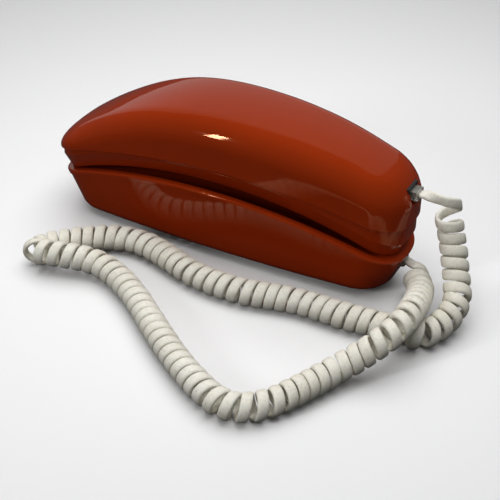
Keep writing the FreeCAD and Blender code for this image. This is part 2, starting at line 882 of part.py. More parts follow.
def hull_reach(z):
    """Length and width of the hull at a height, by its two slopes."""
    rise = as_size(z) - S.base_bottom
    return BOTTOM_LENGTH + 2 * S.end_slope * rise, BOTTOM_WIDTH + 2 * S.side_slope * rise


def hull_block(name, inset, foot):
    """The tapered hull from a height up, or the room inside it where inset is a wall."""
    owner = body(name)
    sections = []
    for level, z, end in (("high", S.hull_top, S.end_radius), ("low", foot, S.bottom_end_radius)):
        length, width = hull_reach(z)
        sketch = sketch_on(owner, f"{name}_{level}", "XY_Plane", z)
        Outline(length, width, S.base_widest_back, S.side_radius, end, S.base_corner_radius, inset).draw(sketch)
        sections.append(sketch)
    loft = owner.newObject("PartDesign::AdditiveLoft", name + "_loft")
    loft.Profile = sections[0]
    loft.Sections = [sections[1]]
    loft.Ruled = True
    return owner, loft


def hull_lip():
    """The proud band along the rim, rounded on its top outer edge."""
    owner, _ = hull_block("lip", -S.lip_proud, S.base_bottom)
    top = trim(owner, "rim", RIM, "below")
    dress(owner, "Fillet", top, edges_of_face(top, highest), Radius=S.lip_round)
    trim(owner, "underside", RIM.raised(-S.lip_height), "above")
    return owner


def base_posts(name, diameter, low, high):
    """Four upright rods at the bottom cover's screws."""
    return group(name, *[rod(f"{name}_{index}", diameter, high - low, x, y, low)
                         for index, (x, y) in enumerate(corners_at(S.base_post_x, S.base_post_y))])


COVER_TOP = S.base_bottom + S.cover_thickness
NOSE_MOUTH = hull_reach(S.base_jack_height)[0] / 2 - S.jack_recess * 2
DECK_UNDER = DECK.raised(-S.deck_wall)
TIP_HEIGHT = FACE.at(S.plunger_x + S.plunger_diameter / 2) - S.plunger_gap
COLLAR_TOP = DECK.at(S.plunger_x) - S.deck_wall - S.plunger_travel - 2 * S.plunger_gap
COLLAR_FOOT = COLLAR_TOP - S.plunger_collar_height


def cover_outline(inset):
    return Outline(BOTTOM_LENGTH, BOTTOM_WIDTH, S.base_widest_back, S.side_radius,
                   S.bottom_end_radius, S.base_corner_radius, S.cover_inset + inset)


def cover_block(name, inset, foot, thickness):
    """A plate of the bottom opening's plan."""
    owner = body(name)
    sketch = sketch_on(owner, name + "_plan", "XY_Plane", foot)
    cover_outline(as_size(inset)).draw(sketch)
    pad(owner, sketch, thickness)
    return owner


def base_housing():
    """The hull: cradle well above an arched deck, room for the works below it."""
    outside, sides = hull_block("hull", as_size(0), S.base_bottom)
    dress(outside, "Fillet", sides, edges_of_face(sides, lowest), Radius=S.bottom_round)
    trim(outside, "rim", RIM.raised(-S.lip_height / 2), "below")
    well, _ = hull_block("well", S.well_wall, S.base_bottom)
    trim(well, "deck", DECK, "above")
    room, room_sides = hull_block("works_room", S.hull_wall, COVER_TOP)
    dress(room, "Fillet", room_sides, edges_of_face(room_sides, lowest), Radius=S.bottom_round - S.hull_wall)
    trim(room, "deck", DECK_UNDER, "below")
    posts = base_posts("base_posts", S.post_diameter, COVER_TOP, S.deck_height)
    guide_outer = S.plunger_diameter + 2 * S.guide_wall
    guide = rod("plunger_guide", guide_outer, S.deck_wall + S.guide_rise, S.plunger_x, 0,
                DECK.at(S.plunger_x) - S.deck_wall)
    stalk = rod("wheel_stalk", S.wheel_pin_shoulder, S.deck_height, S.wheel_x, S.wheel_y,
                S.wheel_foot + S.wheel_height + S.clapper_lift)
    pin = rod("wheel_axle", S.wheel_pin, S.deck_height, S.wheel_x, S.wheel_y,
              S.wheel_foot - S.wheel_clip_height - 2 * S.clapper_lift)
    hollow = cut("works_hollow", room, posts, stalk, pin)
    shell = cut("hull_shell", fuse("hull_whole", outside, hull_lip()), well, hollow)
    opening = cover_block("bottom_opening", 0, S.base_bottom - 1, S.cover_thickness + 1)
    bore = rod("plunger_bore", S.plunger_diameter + 2 * S.running_clearance, S.deck_height, S.plunger_x, 0,
               S.plunger_foot)
    pilots = base_posts("base_pilots", S.screw_diameter + 2 * S.screw_clearance, S.base_bottom,
                        S.base_bottom + S.base_screw_length + 0.5)
    windows = [end_window(f"hull_window_{index}", 6 * S.hull_wall, S.jack_width + 2 * S.jack_clearance,
                          S.jack_height + 2 * S.jack_clearance, toward * BOTTOM_LENGTH / 2, y,
                          S.base_jack_height)
               for index, (toward, y) in enumerate([(1, S.base_jack_side), (-1, as_size(0))])]
    slot_height = S.wheel_height + 2 * S.wheel_slot_gap
    slot = rod("wheel_slot", S.wheel_diameter + 2 * S.wheel_slot_gap, slot_height, S.wheel_x, S.wheel_y,
               S.wheel_foot - S.wheel_slot_gap)
    slot_room = box("wheel_slot_stop", S.wheel_pin_shoulder, S.wheel_pin_shoulder, slot_height, S.wheel_x,
                    S.wheel_y, S.wheel_foot - S.wheel_slot_gap)
    wall_slot = cut("wall_slot", slot, slot_room)
    housing = cut("base_shell", fuse("base_whole", shell, guide), opening, bore, pilots, wall_slot, *windows)
    node(housing, "base_housing")


def base_plate():
    """The bottom cover, with screw holes, foot sockets and standoffs for the board."""
    plate = cover_block("cover", S.cover_clearance, S.base_bottom, S.cover_thickness)
    standoffs = [rod(f"standoff_{index}", S.standoff_diameter, S.network_lift, S.network_x + x, y, COVER_TOP)
                 for index, (x, y) in enumerate(corners_at(S.network_length / 2 - S.standoff_diameter,
                                                           S.network_width / 2 - S.standoff_diameter))]
    holes = base_posts("cover_holes", S.screw_diameter + 4 * S.screw_clearance, S.base_bottom - 1,
                       COVER_TOP + 1)
    sockets = [rod(f"foot_socket_{index}", S.foot_stem_diameter, S.cover_thickness, x, y, S.base_bottom)
               for index, (x, y) in enumerate(corners_at(S.foot_x, S.foot_y))]
    node(cut("cover_plate", fuse("cover_whole", plate, *standoffs), holes, *sockets), "base_plate")


def base_feet():
    """Four rubber feet with stems pressed into the cover."""
    feet = []
    for index, (x, y) in enumerate(corners_at(S.foot_x, S.foot_y)):
        pad_part = rod(f"foot_pad_{index}", S.foot_diameter, S.base_bottom, x, y, 0)
        stem = rod(f"foot_stem_{index}", S.foot_stem_diameter, S.cover_thickness, x, y, S.base_bottom)
        feet.append(fuse(f"foot_{index}", pad_part, stem))
    node(group("feet", *feet), "base_feet")


def base_screws():
    screws = [screw(f"base_screw_{index}", S.screw_head_diameter, S.screw_head_height, S.screw_diameter,
                    S.base_screw_length, x, y, S.base_bottom)
              for index, (x, y) in enumerate(corners_at(S.base_post_x, S.base_post_y))]
    node(group("base_screw_set", *screws), "base_screws")


def base_sockets():
    """Line and handset sockets in the hull's ends, each on a foot that stands on the cover."""
    for label, toward, y in (("base_handset_jack", 1, S.base_jack_side), ("line_jack", -1, as_size(0))):
        block, mouth = socket(label + "_socket", toward * NOSE_MOUTH, y, S.base_jack_height, toward)
        inner_end = toward * (NOSE_MOUTH - S.jack_depth)
        foot = box(label + "_foot", S.base_jack_setback, S.jack_width - S.jack_wall,
                   S.base_jack_height - S.jack_height / 2 - COVER_TOP + S.jack_wall,
                   inner_end - toward * S.base_jack_setback / 4, y, COVER_TOP)
        node(cut(label + "_part", fuse(label + "_whole", block, foot), mouth), label)


def hook_switch():
    """The plunger that the handset holds down, its spring and the switch under it."""
    board_top = COVER_TOP + S.network_lift + S.board_thickness
    stem = rod("plunger_rod", S.plunger_diameter, TIP_HEIGHT - S.plunger_foot, S.plunger_x, 0, S.plunger_foot)
    ring = rod("plunger_ring", S.plunger_collar, S.plunger_collar_height, S.plunger_x, 0, COLLAR_FOOT)
    node(fuse("plunger", stem, ring), "switch_plunger")
    block = box("switch_block", S.switch_length, S.switch_width, S.switch_height, S.plunger_x, 0, board_top)
    bore = rod("switch_bore", S.plunger_diameter + 4 * S.running_clearance, S.switch_height * 2, S.plunger_x, 0,
               S.plunger_foot - 1)
    node(cut("switch", block, bore), "switch_body")
    low = board_top + S.switch_height + S.spring_wire / 2
    high = COLLAR_FOOT - S.spring_wire / 2
    line = doc.addObject("Part::Helix", "spring_line")
    bind(line, Radius=S.spring_radius, Pitch=(high - low) / S.spring_turns, Height=high - low)
    place(line, S.plunger_x, 0, low)
    profile = doc.addObject("Part::Circle", "spring_profile")
    profile.Placement = FreeCAD.Placement(FreeCAD.Vector(), FreeCAD.Rotation(FreeCAD.Vector(1, 0, 0), 90))
    bind(profile, Radius=S.spring_wire / 2)
    place(profile, S.plunger_x + S.spring_radius, 0, low)
    coil = doc.addObject("Part::Sweep", "spring_coil")
    coil.Sections = [profile]
    coil.Spine = (line, [])
    coil.Solid = True
    coil.Frenet = True
    node(coil, "plunger_spring")


# shares of the gong's height and radii where its dome turns in
GONG_SHOULDER = 0.55
GONG_INNER_CROWN = 0.55
GONG_OUTER_CROWN = 0.6
GONG_INNER_DRAFT = 0.92
GONG_OUTER_DRAFT = 0.95
SCREW_CAP_DRAFT = 0.8


def bell():
    """Gong on its post, coil on its bracket and the clapper that swings inside the gong."""
    top = S.gong_rim + S.gong_height
    outer = S.gong_diameter / 2
    inner = outer - S.gong_wall
    eye = S.gong_stud / 2 + S.screw_clearance
    shoulder = S.gong_height * GONG_SHOULDER
    gong = turned("gong", [(eye, top - S.gong_wall), (outer * GONG_INNER_CROWN, top - S.gong_wall),
                           (inner * GONG_INNER_DRAFT, S.gong_rim + shoulder), (inner, S.gong_rim),
                           (outer, S.gong_rim),
                           (outer * GONG_OUTER_DRAFT, S.gong_rim + shoulder + S.gong_wall),
                           (outer * GONG_OUTER_CROWN, top), (eye, top)])
    node(place(gong, S.gong_x), "ringer_gong")
    stud = S.gong_stud / 2
    post = S.gong_post_diameter / 2
    column = turned("gong_column", [(0, COVER_TOP), (post, COVER_TOP), (post, top - S.gong_wall),
                                    (stud, top - S.gong_wall), (stud, top), (0, top)])
    node(place(column, S.gong_x), "gong_post")
    head = S.gong_screw_diameter / 2
    cap = turned("gong_cap", [(0, top), (head, top), (head * SCREW_CAP_DRAFT, top + S.gong_screw_height),
                              (0, top + S.gong_screw_height)])
    node(place(cap, S.gong_x), "gong_screw")
    ringer_bracket()
    clapper()


def lying(name, diameter, length, x, z):
    """A cylinder along X, centred on x."""
    thing = doc.addObject("Part::Cylinder", name)
    bind(thing, Radius=as_size(diameter) / 2, Height=length)
    thing.Placement = FreeCAD.Placement(FreeCAD.Vector(), FreeCAD.Rotation(FreeCAD.Vector(0, 1, 0), 90))
    return place(thing, as_size(x) - as_size(length) / 2, 0, z)


def ringer_bracket():
    """A folded sheet with two cheeks, an iron core between them and the wound bobbin on it."""
    half = S.bracket_length / 2
    sheet_part = box("bracket_floor", S.bracket_length, S.bracket_width, S.bracket_sheet, S.bracket_x, 0,
                     COVER_TOP)
    cheeks = [box(f"bracket_cheek_{index}", S.bracket_sheet, S.cheek_width, S.cheek_height,
                  S.bracket_x + toward * (half - S.bracket_sheet / 2 - S.clapper_hub * (toward < 0)), 0,
                  COVER_TOP)
              for index, toward in enumerate((1, -1))]
    core_length = S.bracket_length - S.clapper_hub
    core_x = S.bracket_x + S.clapper_hub / 2
    core = lying("bracket_core", S.core_diameter, core_length, core_x, S.coil_height)
    pin = rod("clapper_pin_rod", S.clapper_pin, 2 * S.clapper_sheet + 2 * S.bracket_sheet, CLAPPER_X,
              S.clapper_y, COVER_TOP)
    node(fuse("bracket", sheet_part, *cheeks, core, pin), "ringer_frame")
    room = core_length - 2 * S.bracket_sheet
    wound = lying("coil_wound", S.coil_diameter, room - 2 * S.bobbin_flange, core_x, S.coil_height)
    flanges = [lying(f"coil_flange_{index}", S.coil_diameter + 2 * S.bobbin_flange, S.bobbin_flange,
                     core_x + toward * (room - S.bobbin_flange) / 2, S.coil_height)
               for index, toward in enumerate((1, -1))]
    bore = lying("coil_bore", S.core_diameter, S.bracket_length, core_x, S.coil_height)
    node(cut("coil", fuse("coil_whole", wound, *flanges), bore), "ringer_coil")


CLAPPER_X = S.gong_x + S.clapper_arm


def clapper():
    """A hub on the bracket's pin, an arm under the gong's rim and a ball on a stub inside it."""
    foot = COVER_TOP + S.bracket_sheet + S.clapper_lift
    hub = rod("clapper_hub_rod", S.clapper_hub, S.clapper_sheet, CLAPPER_X, S.clapper_y, foot)
    arm = box("clapper_arm_bar", S.clapper_arm, S.clapper_sheet, S.clapper_sheet,
              S.gong_x + S.clapper_arm / 2, S.clapper_y, foot)
    stub = rod("clapper_stub", S.clapper_sheet, S.clapper_ball_height - foot, S.gong_x, S.clapper_y, foot)
    ball = doc.addObject("Part::Sphere", "clapper_ball_part")
    bind(ball, Radius=S.clapper_ball / 2)
    place(ball, S.gong_x, S.clapper_y, S.clapper_ball_height)
    bore = rod("clapper_bore", S.clapper_pin + 2 * S.running_clearance, 3 * S.clapper_sheet, CLAPPER_X,
               S.clapper_y, foot - S.clapper_sheet)
    node(cut("clapper_part", fuse("clapper_whole", hub, arm, stub, ball), bore), "clapper")


def loudness_wheel():
    """A notched thumb wheel on the housing's axle, and the clip under it."""
    owner = body("wheel")
    rim = sketch_on(owner, "wheel_plan", "XY_Plane")
    circle(rim, S.wheel_diameter)
    circle(rim, S.wheel_pin + 2 * S.running_clearance)
    disc = pad(owner, rim, S.wheel_height)
    doc.recompute()
    notch = sketch_on(owner, "wheel_notch_plan", "XY_Plane")
    circle(notch, S.wheel_notch, S.wheel_diameter / 2, 0)
    groove = owner.newObject("PartDesign::Pocket", "wheel_notch_cut")
    groove.Profile = notch
    groove.Type = "ThroughAll"
    groove.Reversed = True
    doc.recompute()
    if groove.Shape.Volume >= disc.Shape.Volume:
        groove.Reversed = False
        doc.recompute()
    ring = owner.newObject("PartDesign::PolarPattern", "wheel_notches")
    ring.Originals = [groove]
    ring.Axis = (rim, ["N_Axis"])
    ring.Angle = 360
    bind(ring, Occurrences=S.wheel_notches)
    owner.Tip = ring
    node(place(owner, S.wheel_x, S.wheel_y, S.wheel_foot), "volume_wheel")
    clip = rod("clip_disc", S.wheel_clip, S.wheel_clip_height, S.wheel_x, S.wheel_y,
               S.wheel_foot - S.wheel_clip_height - S.clapper_lift)
    hole = rod("clip_hole", S.wheel_pin, 3 * S.wheel_clip_height, S.wheel_x, S.wheel_y,
               S.wheel_foot - 2 * S.wheel_clip_height - S.clapper_lift)
    node(cut("clip", clip, hole), "wheel_clip")


def network():
    """The network board on the cover's standoffs, with its transformer and capacitors."""
    foot = COVER_TOP + S.network_lift
    board = box("network_plate", S.network_length, S.network_width, S.board_thickness, S.network_x, 0, foot)
    node(board, "network_board")
    top = foot + S.board_thickness
    side = S.network_length / 2 - S.transformer_size
    node(box("transformer", S.transformer_size, S.transformer_size, S.transformer_height, S.network_x - side, 0,
             top), "network_transformer")
    cans = [rod(f"can_{index}", S.capacitor_diameter, S.capacitor_height, S.network_x + side,
                toward * S.capacitor_spread / 2, top) for index, toward in enumerate((1, -1))]
    node(group("cans", *cans), "network_capacitors")


PLUG_TOP = S.jack_height / 2 - S.jack_wall - S.plug_clearance


def plug(label, mouth_x, rear_x, y, z):
    """A modular plug pushed into a socket along -X, with its latch below."""
    depth = S.jack_depth - 2 * S.jack_wall + rear_x - mouth_x
    foot = z + PLUG_TOP - S.plug_height
    block = box(label + "_block", depth, S.plug_width, S.plug_height, rear_x - depth / 2, y, foot)
    latch_width = S.plug_width / 2
    latch_foot = foot - S.plug_clearance - S.plug_latch
    spring = box(label + "_latch", depth, latch_width, S.plug_latch, rear_x - depth / 2, y, latch_foot)
    knee = box(label + "_knee", S.plug_latch, latch_width, 2 * S.plug_clearance + S.plug_latch,
               rear_x - depth + S.plug_latch / 2, y, latch_foot)
    node(fuse(label + "_whole", block, spring, knee), label)
    return FreeCAD.Vector(rear_x.number, y.number, (foot + S.plug_height / 2).number)


# Middle line of the curly cord between the rear faces of its two plugs, which are the first and
# last points. It hangs from the handset, lies along the near side of the base, turns back in a
# tight loop and a wide one, and passes over itself before it reaches the base.
CORD_ROUTE = [
    (108.6, 1.0, 61.0), (120.6, 6.4, 61.2), (123.6, 5.6, 46.0), (127.6, 4.6, 33.5),
    (131.2, 3.2, 21.5), (135.4, -3.0, 11.5), (138.8, -15.0, 7.8), (139.2, -27.5, 7.6),
    (133.5, -38.5, 7.6), (121.0, -43.0, 7.6), (106.0, -43.5, 7.6), (91.0, -45.8, 7.6),
    (72.0, -45.8, 7.6), (54.0, -48.6, 7.6), (36.0, -52.6, 7.6), (18.0, -53.4, 7.6),
    (0.0, -51.0, 7.6), (-16.5, -46.8, 7.6), (-33.0, -41.6, 7.6), (-47.0, -41.4, 7.6),
    (-61.0, -48.4, 7.6), (-73.5, -57.2, 7.6), (-85.5, -65.0, 8.0), (-86.0, -78.4, 10.5),
    (-75.0, -86.0, 13.5), (-62.0, -80.2, 14.5), (-50.5, -74.0, 12.5), (-37.0, -73.6, 10.0),
    (-21.8, -81.4, 7.8), (-2.3, -94.8, 7.6), (14.6, -106.8, 7.6), (31.0, -118.3, 7.6),
    (48.0, -127.6, 7.6), (65.0, -132.4, 7.6), (79.0, -131.0, 7.6), (87.5, -119.5, 7.6),
    (97.6, -102.2, 7.6), (104.5, -88.0, 9.0), (111.5, -76.5, 14.5), (119.0, -65.5, 21.4),
    (124.0, -52.0, 23.4), (124.6, -35.5, 23.2), (123.0, -24.5, 16.4), (119.6, -13.0, 11.6),
    (114.0, -2.6, 9.7), (111.8, 6.0, 9.6), (102.5, 5.0, 15.5),
]
ROUTE_STEP = 0.5
ROUTE_GIVE = 4
ARC_SHARE = 0.45


def cord_corners(start, stop):
    """Corners of the coil's middle line; its ends follow the plugs if these move."""
    drawn = [FreeCAD.Vector(*corner) for corner in CORD_ROUTE]
    start_drift = start - drawn[0]
    stop_drift = stop - drawn[-1]
    corners = []
    for index, corner in enumerate(drawn[1:-1]):
        start_share = max(0, 1 - index / ROUTE_GIVE)
        stop_share = max(0, 1 - (len(drawn) - 3 - index) / ROUTE_GIVE)
        corners.append(corner + start_drift * start_share + stop_drift * stop_share)
    return corners


def between(start, stop):
    """Even places from start up to, but without, stop."""
    count = max(1, math.ceil(start.distanceToPoint(stop) / ROUTE_STEP))
    return [start + (stop - start) * (index / count) for index in range(count)]


def route_places(corners):
    """Places along straight runs joined by the widest arcs that the runs allow."""
    places = []
    start = corners[0]
    for before, corner, after in zip(corners, corners[1:], corners[2:]):
        back = (before - corner).normalize()
        ahead = (after - corner).normalize()
        reach = ARC_SHARE * min(corner.distanceToPoint(before), corner.distanceToPoint(after))
        turn = math.pi - back.getAngle(ahead)
        radius = reach / math.tan(turn / 2)
        first = corner + back * reach
        centre = corner + (back + ahead).normalize() * (radius / math.cos(turn / 2))
        places += between(start, first)
        axis = (corner - before).cross(after - corner)
        count = math.ceil(radius * turn / ROUTE_STEP)
        for index in range(count):
            swing = FreeCAD.Rotation(axis, math.degrees(turn) * index / count)
            places.append(centre + swing.multVec(first - centre))
        start = corner + ahead * reach
    return places + between(start, corners[-1]) + [corners[-1]]


class Curl:
    """A left-handed helix about a route, from its near side at the start to its top at the end."""

    def __init__(self, places, radius, curls):
        self.radius = radius
        self.reach = [0.0]
        for start, stop in zip(places, places[1:]):
            self.reach.append(self.reach[-1] + start.distanceToPoint(stop))
        self.frames = []
        side = FreeCAD.Vector(0, -1, 0)
        for index, middle in enumerate(places):
            along = (places[min(index + 1, len(places) - 1)] - places[max(index - 1, 0)]).normalize()
            side = (side - along * side.dot(along)).normalize()
            self.frames.append((middle, along, side))
        up = FreeCAD.Vector(0, 0, 1)
        lag = math.atan2(along.dot(side.cross(up)), side.dot(up))
        self.turns = curls + (-lag / (2 * math.pi)) % 1

    def at(self, turn):
        """The wire's place after a number of turns."""
        wanted = self.reach[-1] * turn / self.turns
        index = min(bisect.bisect_right(self.reach, wanted), len(self.reach) - 1)
        low, high = self.reach[index - 1], self.reach[index]
        mix = (wanted - low) / (high - low)
        pairs = zip(self.frames[index - 1], self.frames[index])
        middle, along, side = [one + (two - one) * mix for one, two in pairs]
        swing = FreeCAD.Rotation(along, -360 * turn)
        return middle + swing.multVec(side).normalize() * self.radius

    def heading(self, turn):
        """The wire's direction after a number of turns."""
        nudge = 0.01
        low = max(turn - nudge, 0)
        high = min(turn + nudge, self.turns)
        return (self.at(high) - self.at(low)).normalize()

    def stations(self):
        """Place and heading at every half turn, the last at the end."""
        halves = round(2 * self.turns)
        turns = [index / 2 for index in range(halves)] + [self.turns]
        return [(self.at(turn), self.heading(turn)) for turn in turns]


def arc_to(start, heading, stop):
    """The circular edge that leaves start along heading and ends at stop."""
    chord = stop - start
    lean = heading.getAngle(chord)
    sideways = heading - chord * (heading.dot(chord) / chord.dot(chord))
    if sideways.Length < 1e-6:
        return Part.LineSegment(start, stop).toShape()
    bulge = chord.Length / 2 * math.tan(lean / 2)
    middle = (start + stop) * 0.5 + sideways.normalize() * bulge
    return Part.Arc(start, middle, stop).toShape()


def biarc(start, leave, stop, arrive):
    """Two tangent arcs from one place and heading to another."""
    chord = stop - start
    pull = chord.dot(leave + arrive)
    spread = 2 * (1 - leave.dot(arrive))
    square = chord.dot(chord)
    if spread < 1e-9:
        handle = square / (2 * pull)
    else:
        handle = (math.sqrt(pull * pull + spread * square) - pull) / spread
    last_corner = stop - arrive * handle
    joint = (start + leave * handle + last_corner) * 0.5
    return [arc_to(start, leave, joint), arc_to(joint, (last_corner - joint).normalize(), stop)]


def least_gap(spots, apart, thick):
    """Smallest clear space between places of a wire that are more than a count of steps apart."""
    cells = {}
    least = 2 * thick
    for index, spot in enumerate(spots):
        home = [int(value // (2 * thick)) for value in spot]
        for cell in itertools.product(*[range(value - 1, value + 2) for value in home]):
            for other in cells.get(cell, []):
                if index - other > apart:
                    least = min(least, spot.distanceToPoint(spots[other]))
        cells.setdefault(tuple(home), []).append(index)
    return least - thick


def curly_cord(start, stop):
    """One unbroken wire from plug to plug: straight ends, a curl every pitch, arcs throughout."""
    thick = S.cord_wire.number
    radius = S.cord_outside.number / 2 - thick / 2
    curl = Curl(route_places(cord_corners(start, stop)), radius, int(S.cord_turns.number))
    out = FreeCAD.Vector(1, 0, 0)
    stations = [(start + out * thick, out)] + curl.stations() + [(stop + out * thick, -out)]
    edges = [Part.LineSegment(start, stations[0][0]).toShape()]
    for (place_now, heading), (place_next, heading_next) in zip(stations, stations[1:]):
        edges += biarc(place_now, heading, place_next, heading_next)
    edges.append(Part.LineSegment(stations[-1][0], stop).toShape())
    line = Part.Wire(edges)
    section = Part.Wire([Part.makeCircle(thick / 2, start, out)])
    cord = doc.addObject("Part::Feature", "curly_cord")
    cord.Shape = line.makePipeShell([section], True, False)
    swept = math.pi * thick * thick / 4 * line.Length
    gap = least_gap(line.discretize(Distance=ROUTE_STEP), radius * math.pi / ROUTE_STEP, thick)
    print(f"cord {line.Length:.0f} mm long, volume {cord.Shape.Volume / swept:.4f} of section times length")
    print(f"cord least gap to itself {gap:.2f} mm")
    node(cord, "handset_cord")


back_housing()
face_housing()
handset_screws()
keypad_frame()
buttons()
keypad_mat()
keypad_board()
capsule("ear_unit", "receiver", S.receiver_diameter, RECEIVER_X)
capsule("mouth_unit", "transmitter", S.transmitter_diameter, TRANSMITTER_X)
handset_jack()
base_housing()
base_plate()
base_feet()
base_screws()
base_sockets()
hook_switch()
bell()
loudness_wheel()
network()
cord_start = plug("cord_plug_handset", HANDSET_MOUTH, HALF_LENGTH + S.plug_proud, S.handset_jack_side,
                  S.handset_jack_height)
cord_stop = plug("cord_plug_base", NOSE_MOUTH, NOSE_MOUTH + S.jack_recess + S.plug_proud, S.base_jack_side,
                 S.base_jack_height)
curly_cord(cord_start, cord_stop)

doc.recompute()
failed = [item.Name for item in doc.Objects if "Invalid" in item.State or "Error" in item.State]
for item in NODES:
    if item.Shape.isNull() or not item.Shape.isValid() or not item.Shape.Solids:
        failed.append(item.Label)
if failed:
    raise RuntimeError("not built: " + ", ".join(failed))
os.makedirs("parts", exist_ok=True)
for item in NODES:
    item.Shape.exportStep(f"parts/{item.Label}.step")
print(len(NODES), "sub-parts written")
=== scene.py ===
"""Dresses the slim desk telephone: finishes, the curly cord, key legends, light and camera.

Metres, in the same frame as the solids: origin on the table under the middle of the base,
+X along the telephone to the cord end, +Y away from the near side and +Z up.
"""

import json
import math

import bmesh
import bpy
from mathutils import Matrix, Vector
from mathutils.bvhtree import BVHTree
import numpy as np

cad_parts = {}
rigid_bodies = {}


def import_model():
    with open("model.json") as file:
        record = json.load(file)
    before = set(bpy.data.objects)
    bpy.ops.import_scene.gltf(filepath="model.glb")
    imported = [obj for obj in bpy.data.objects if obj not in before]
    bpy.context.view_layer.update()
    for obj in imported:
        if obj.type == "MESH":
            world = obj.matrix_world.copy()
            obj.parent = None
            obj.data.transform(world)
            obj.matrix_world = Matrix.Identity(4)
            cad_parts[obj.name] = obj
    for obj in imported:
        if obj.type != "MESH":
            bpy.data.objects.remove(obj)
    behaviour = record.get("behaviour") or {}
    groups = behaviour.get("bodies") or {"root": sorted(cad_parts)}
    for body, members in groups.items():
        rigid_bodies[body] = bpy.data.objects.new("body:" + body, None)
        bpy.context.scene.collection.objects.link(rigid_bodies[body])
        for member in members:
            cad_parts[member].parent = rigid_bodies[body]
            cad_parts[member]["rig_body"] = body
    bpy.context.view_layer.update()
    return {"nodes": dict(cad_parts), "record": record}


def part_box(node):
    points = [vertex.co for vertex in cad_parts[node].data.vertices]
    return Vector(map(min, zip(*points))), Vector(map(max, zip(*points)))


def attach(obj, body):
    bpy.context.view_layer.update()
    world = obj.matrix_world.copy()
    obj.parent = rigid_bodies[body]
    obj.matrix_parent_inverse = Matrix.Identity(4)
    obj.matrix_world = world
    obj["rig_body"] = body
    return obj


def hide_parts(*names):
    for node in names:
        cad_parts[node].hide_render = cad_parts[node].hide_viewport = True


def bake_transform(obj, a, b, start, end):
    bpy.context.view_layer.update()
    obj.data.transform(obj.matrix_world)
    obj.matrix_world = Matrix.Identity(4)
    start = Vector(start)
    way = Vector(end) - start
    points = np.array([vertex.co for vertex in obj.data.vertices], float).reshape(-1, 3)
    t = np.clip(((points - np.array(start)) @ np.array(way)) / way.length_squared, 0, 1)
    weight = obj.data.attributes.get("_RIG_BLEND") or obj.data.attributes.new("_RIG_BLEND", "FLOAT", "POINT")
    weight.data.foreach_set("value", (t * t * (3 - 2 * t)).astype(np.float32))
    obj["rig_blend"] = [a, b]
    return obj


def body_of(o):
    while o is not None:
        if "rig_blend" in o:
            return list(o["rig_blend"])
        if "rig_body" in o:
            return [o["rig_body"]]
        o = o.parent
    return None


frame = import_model()
NODES = frame["nodes"]
MM = 0.001
NEAR = Vector((0, -1, 0))
UP = Vector((0, 0, 1))
OUT = Vector((1, 0, 0))

# Camera

CAMERA_TARGET = Vector((0.01459, -0.00858, 0.0))
CAMERA_AZIMUTH = math.radians(29.26)
CAMERA_HEIGHT = math.radians(35.10)
CAMERA_DISTANCE = 0.67022
CAMERA_LENS = 85.64
SENSOR = 36.0
CLIP_START = 0.01


def toward(azimuth, height):
    """Unit vector from the object to a viewer; azimuth 0 looks along +Y."""
    return Vector((math.sin(azimuth) * math.cos(height),
                   -math.cos(azimuth) * math.cos(height),
                   math.sin(height)))


def aim(thing, place, target):
    """Put a camera or lamp at a place, looking at a target."""
    thing.location = place
    thing.rotation_euler = (target - place).to_track_quat("-Z", "Y").to_euler()


def add_camera():
    data = bpy.data.cameras.new("camera")
    data.lens = CAMERA_LENS
    data.sensor_width = SENSOR
    data.clip_start = CLIP_START
    camera = bpy.data.objects.new("camera", data)
    bpy.context.collection.objects.link(camera)
    aim(camera, CAMERA_TARGET + CAMERA_DISTANCE * toward(CAMERA_AZIMUTH, CAMERA_HEIGHT), CAMERA_TARGET)
    bpy.context.scene.camera = camera


# Material building blocks


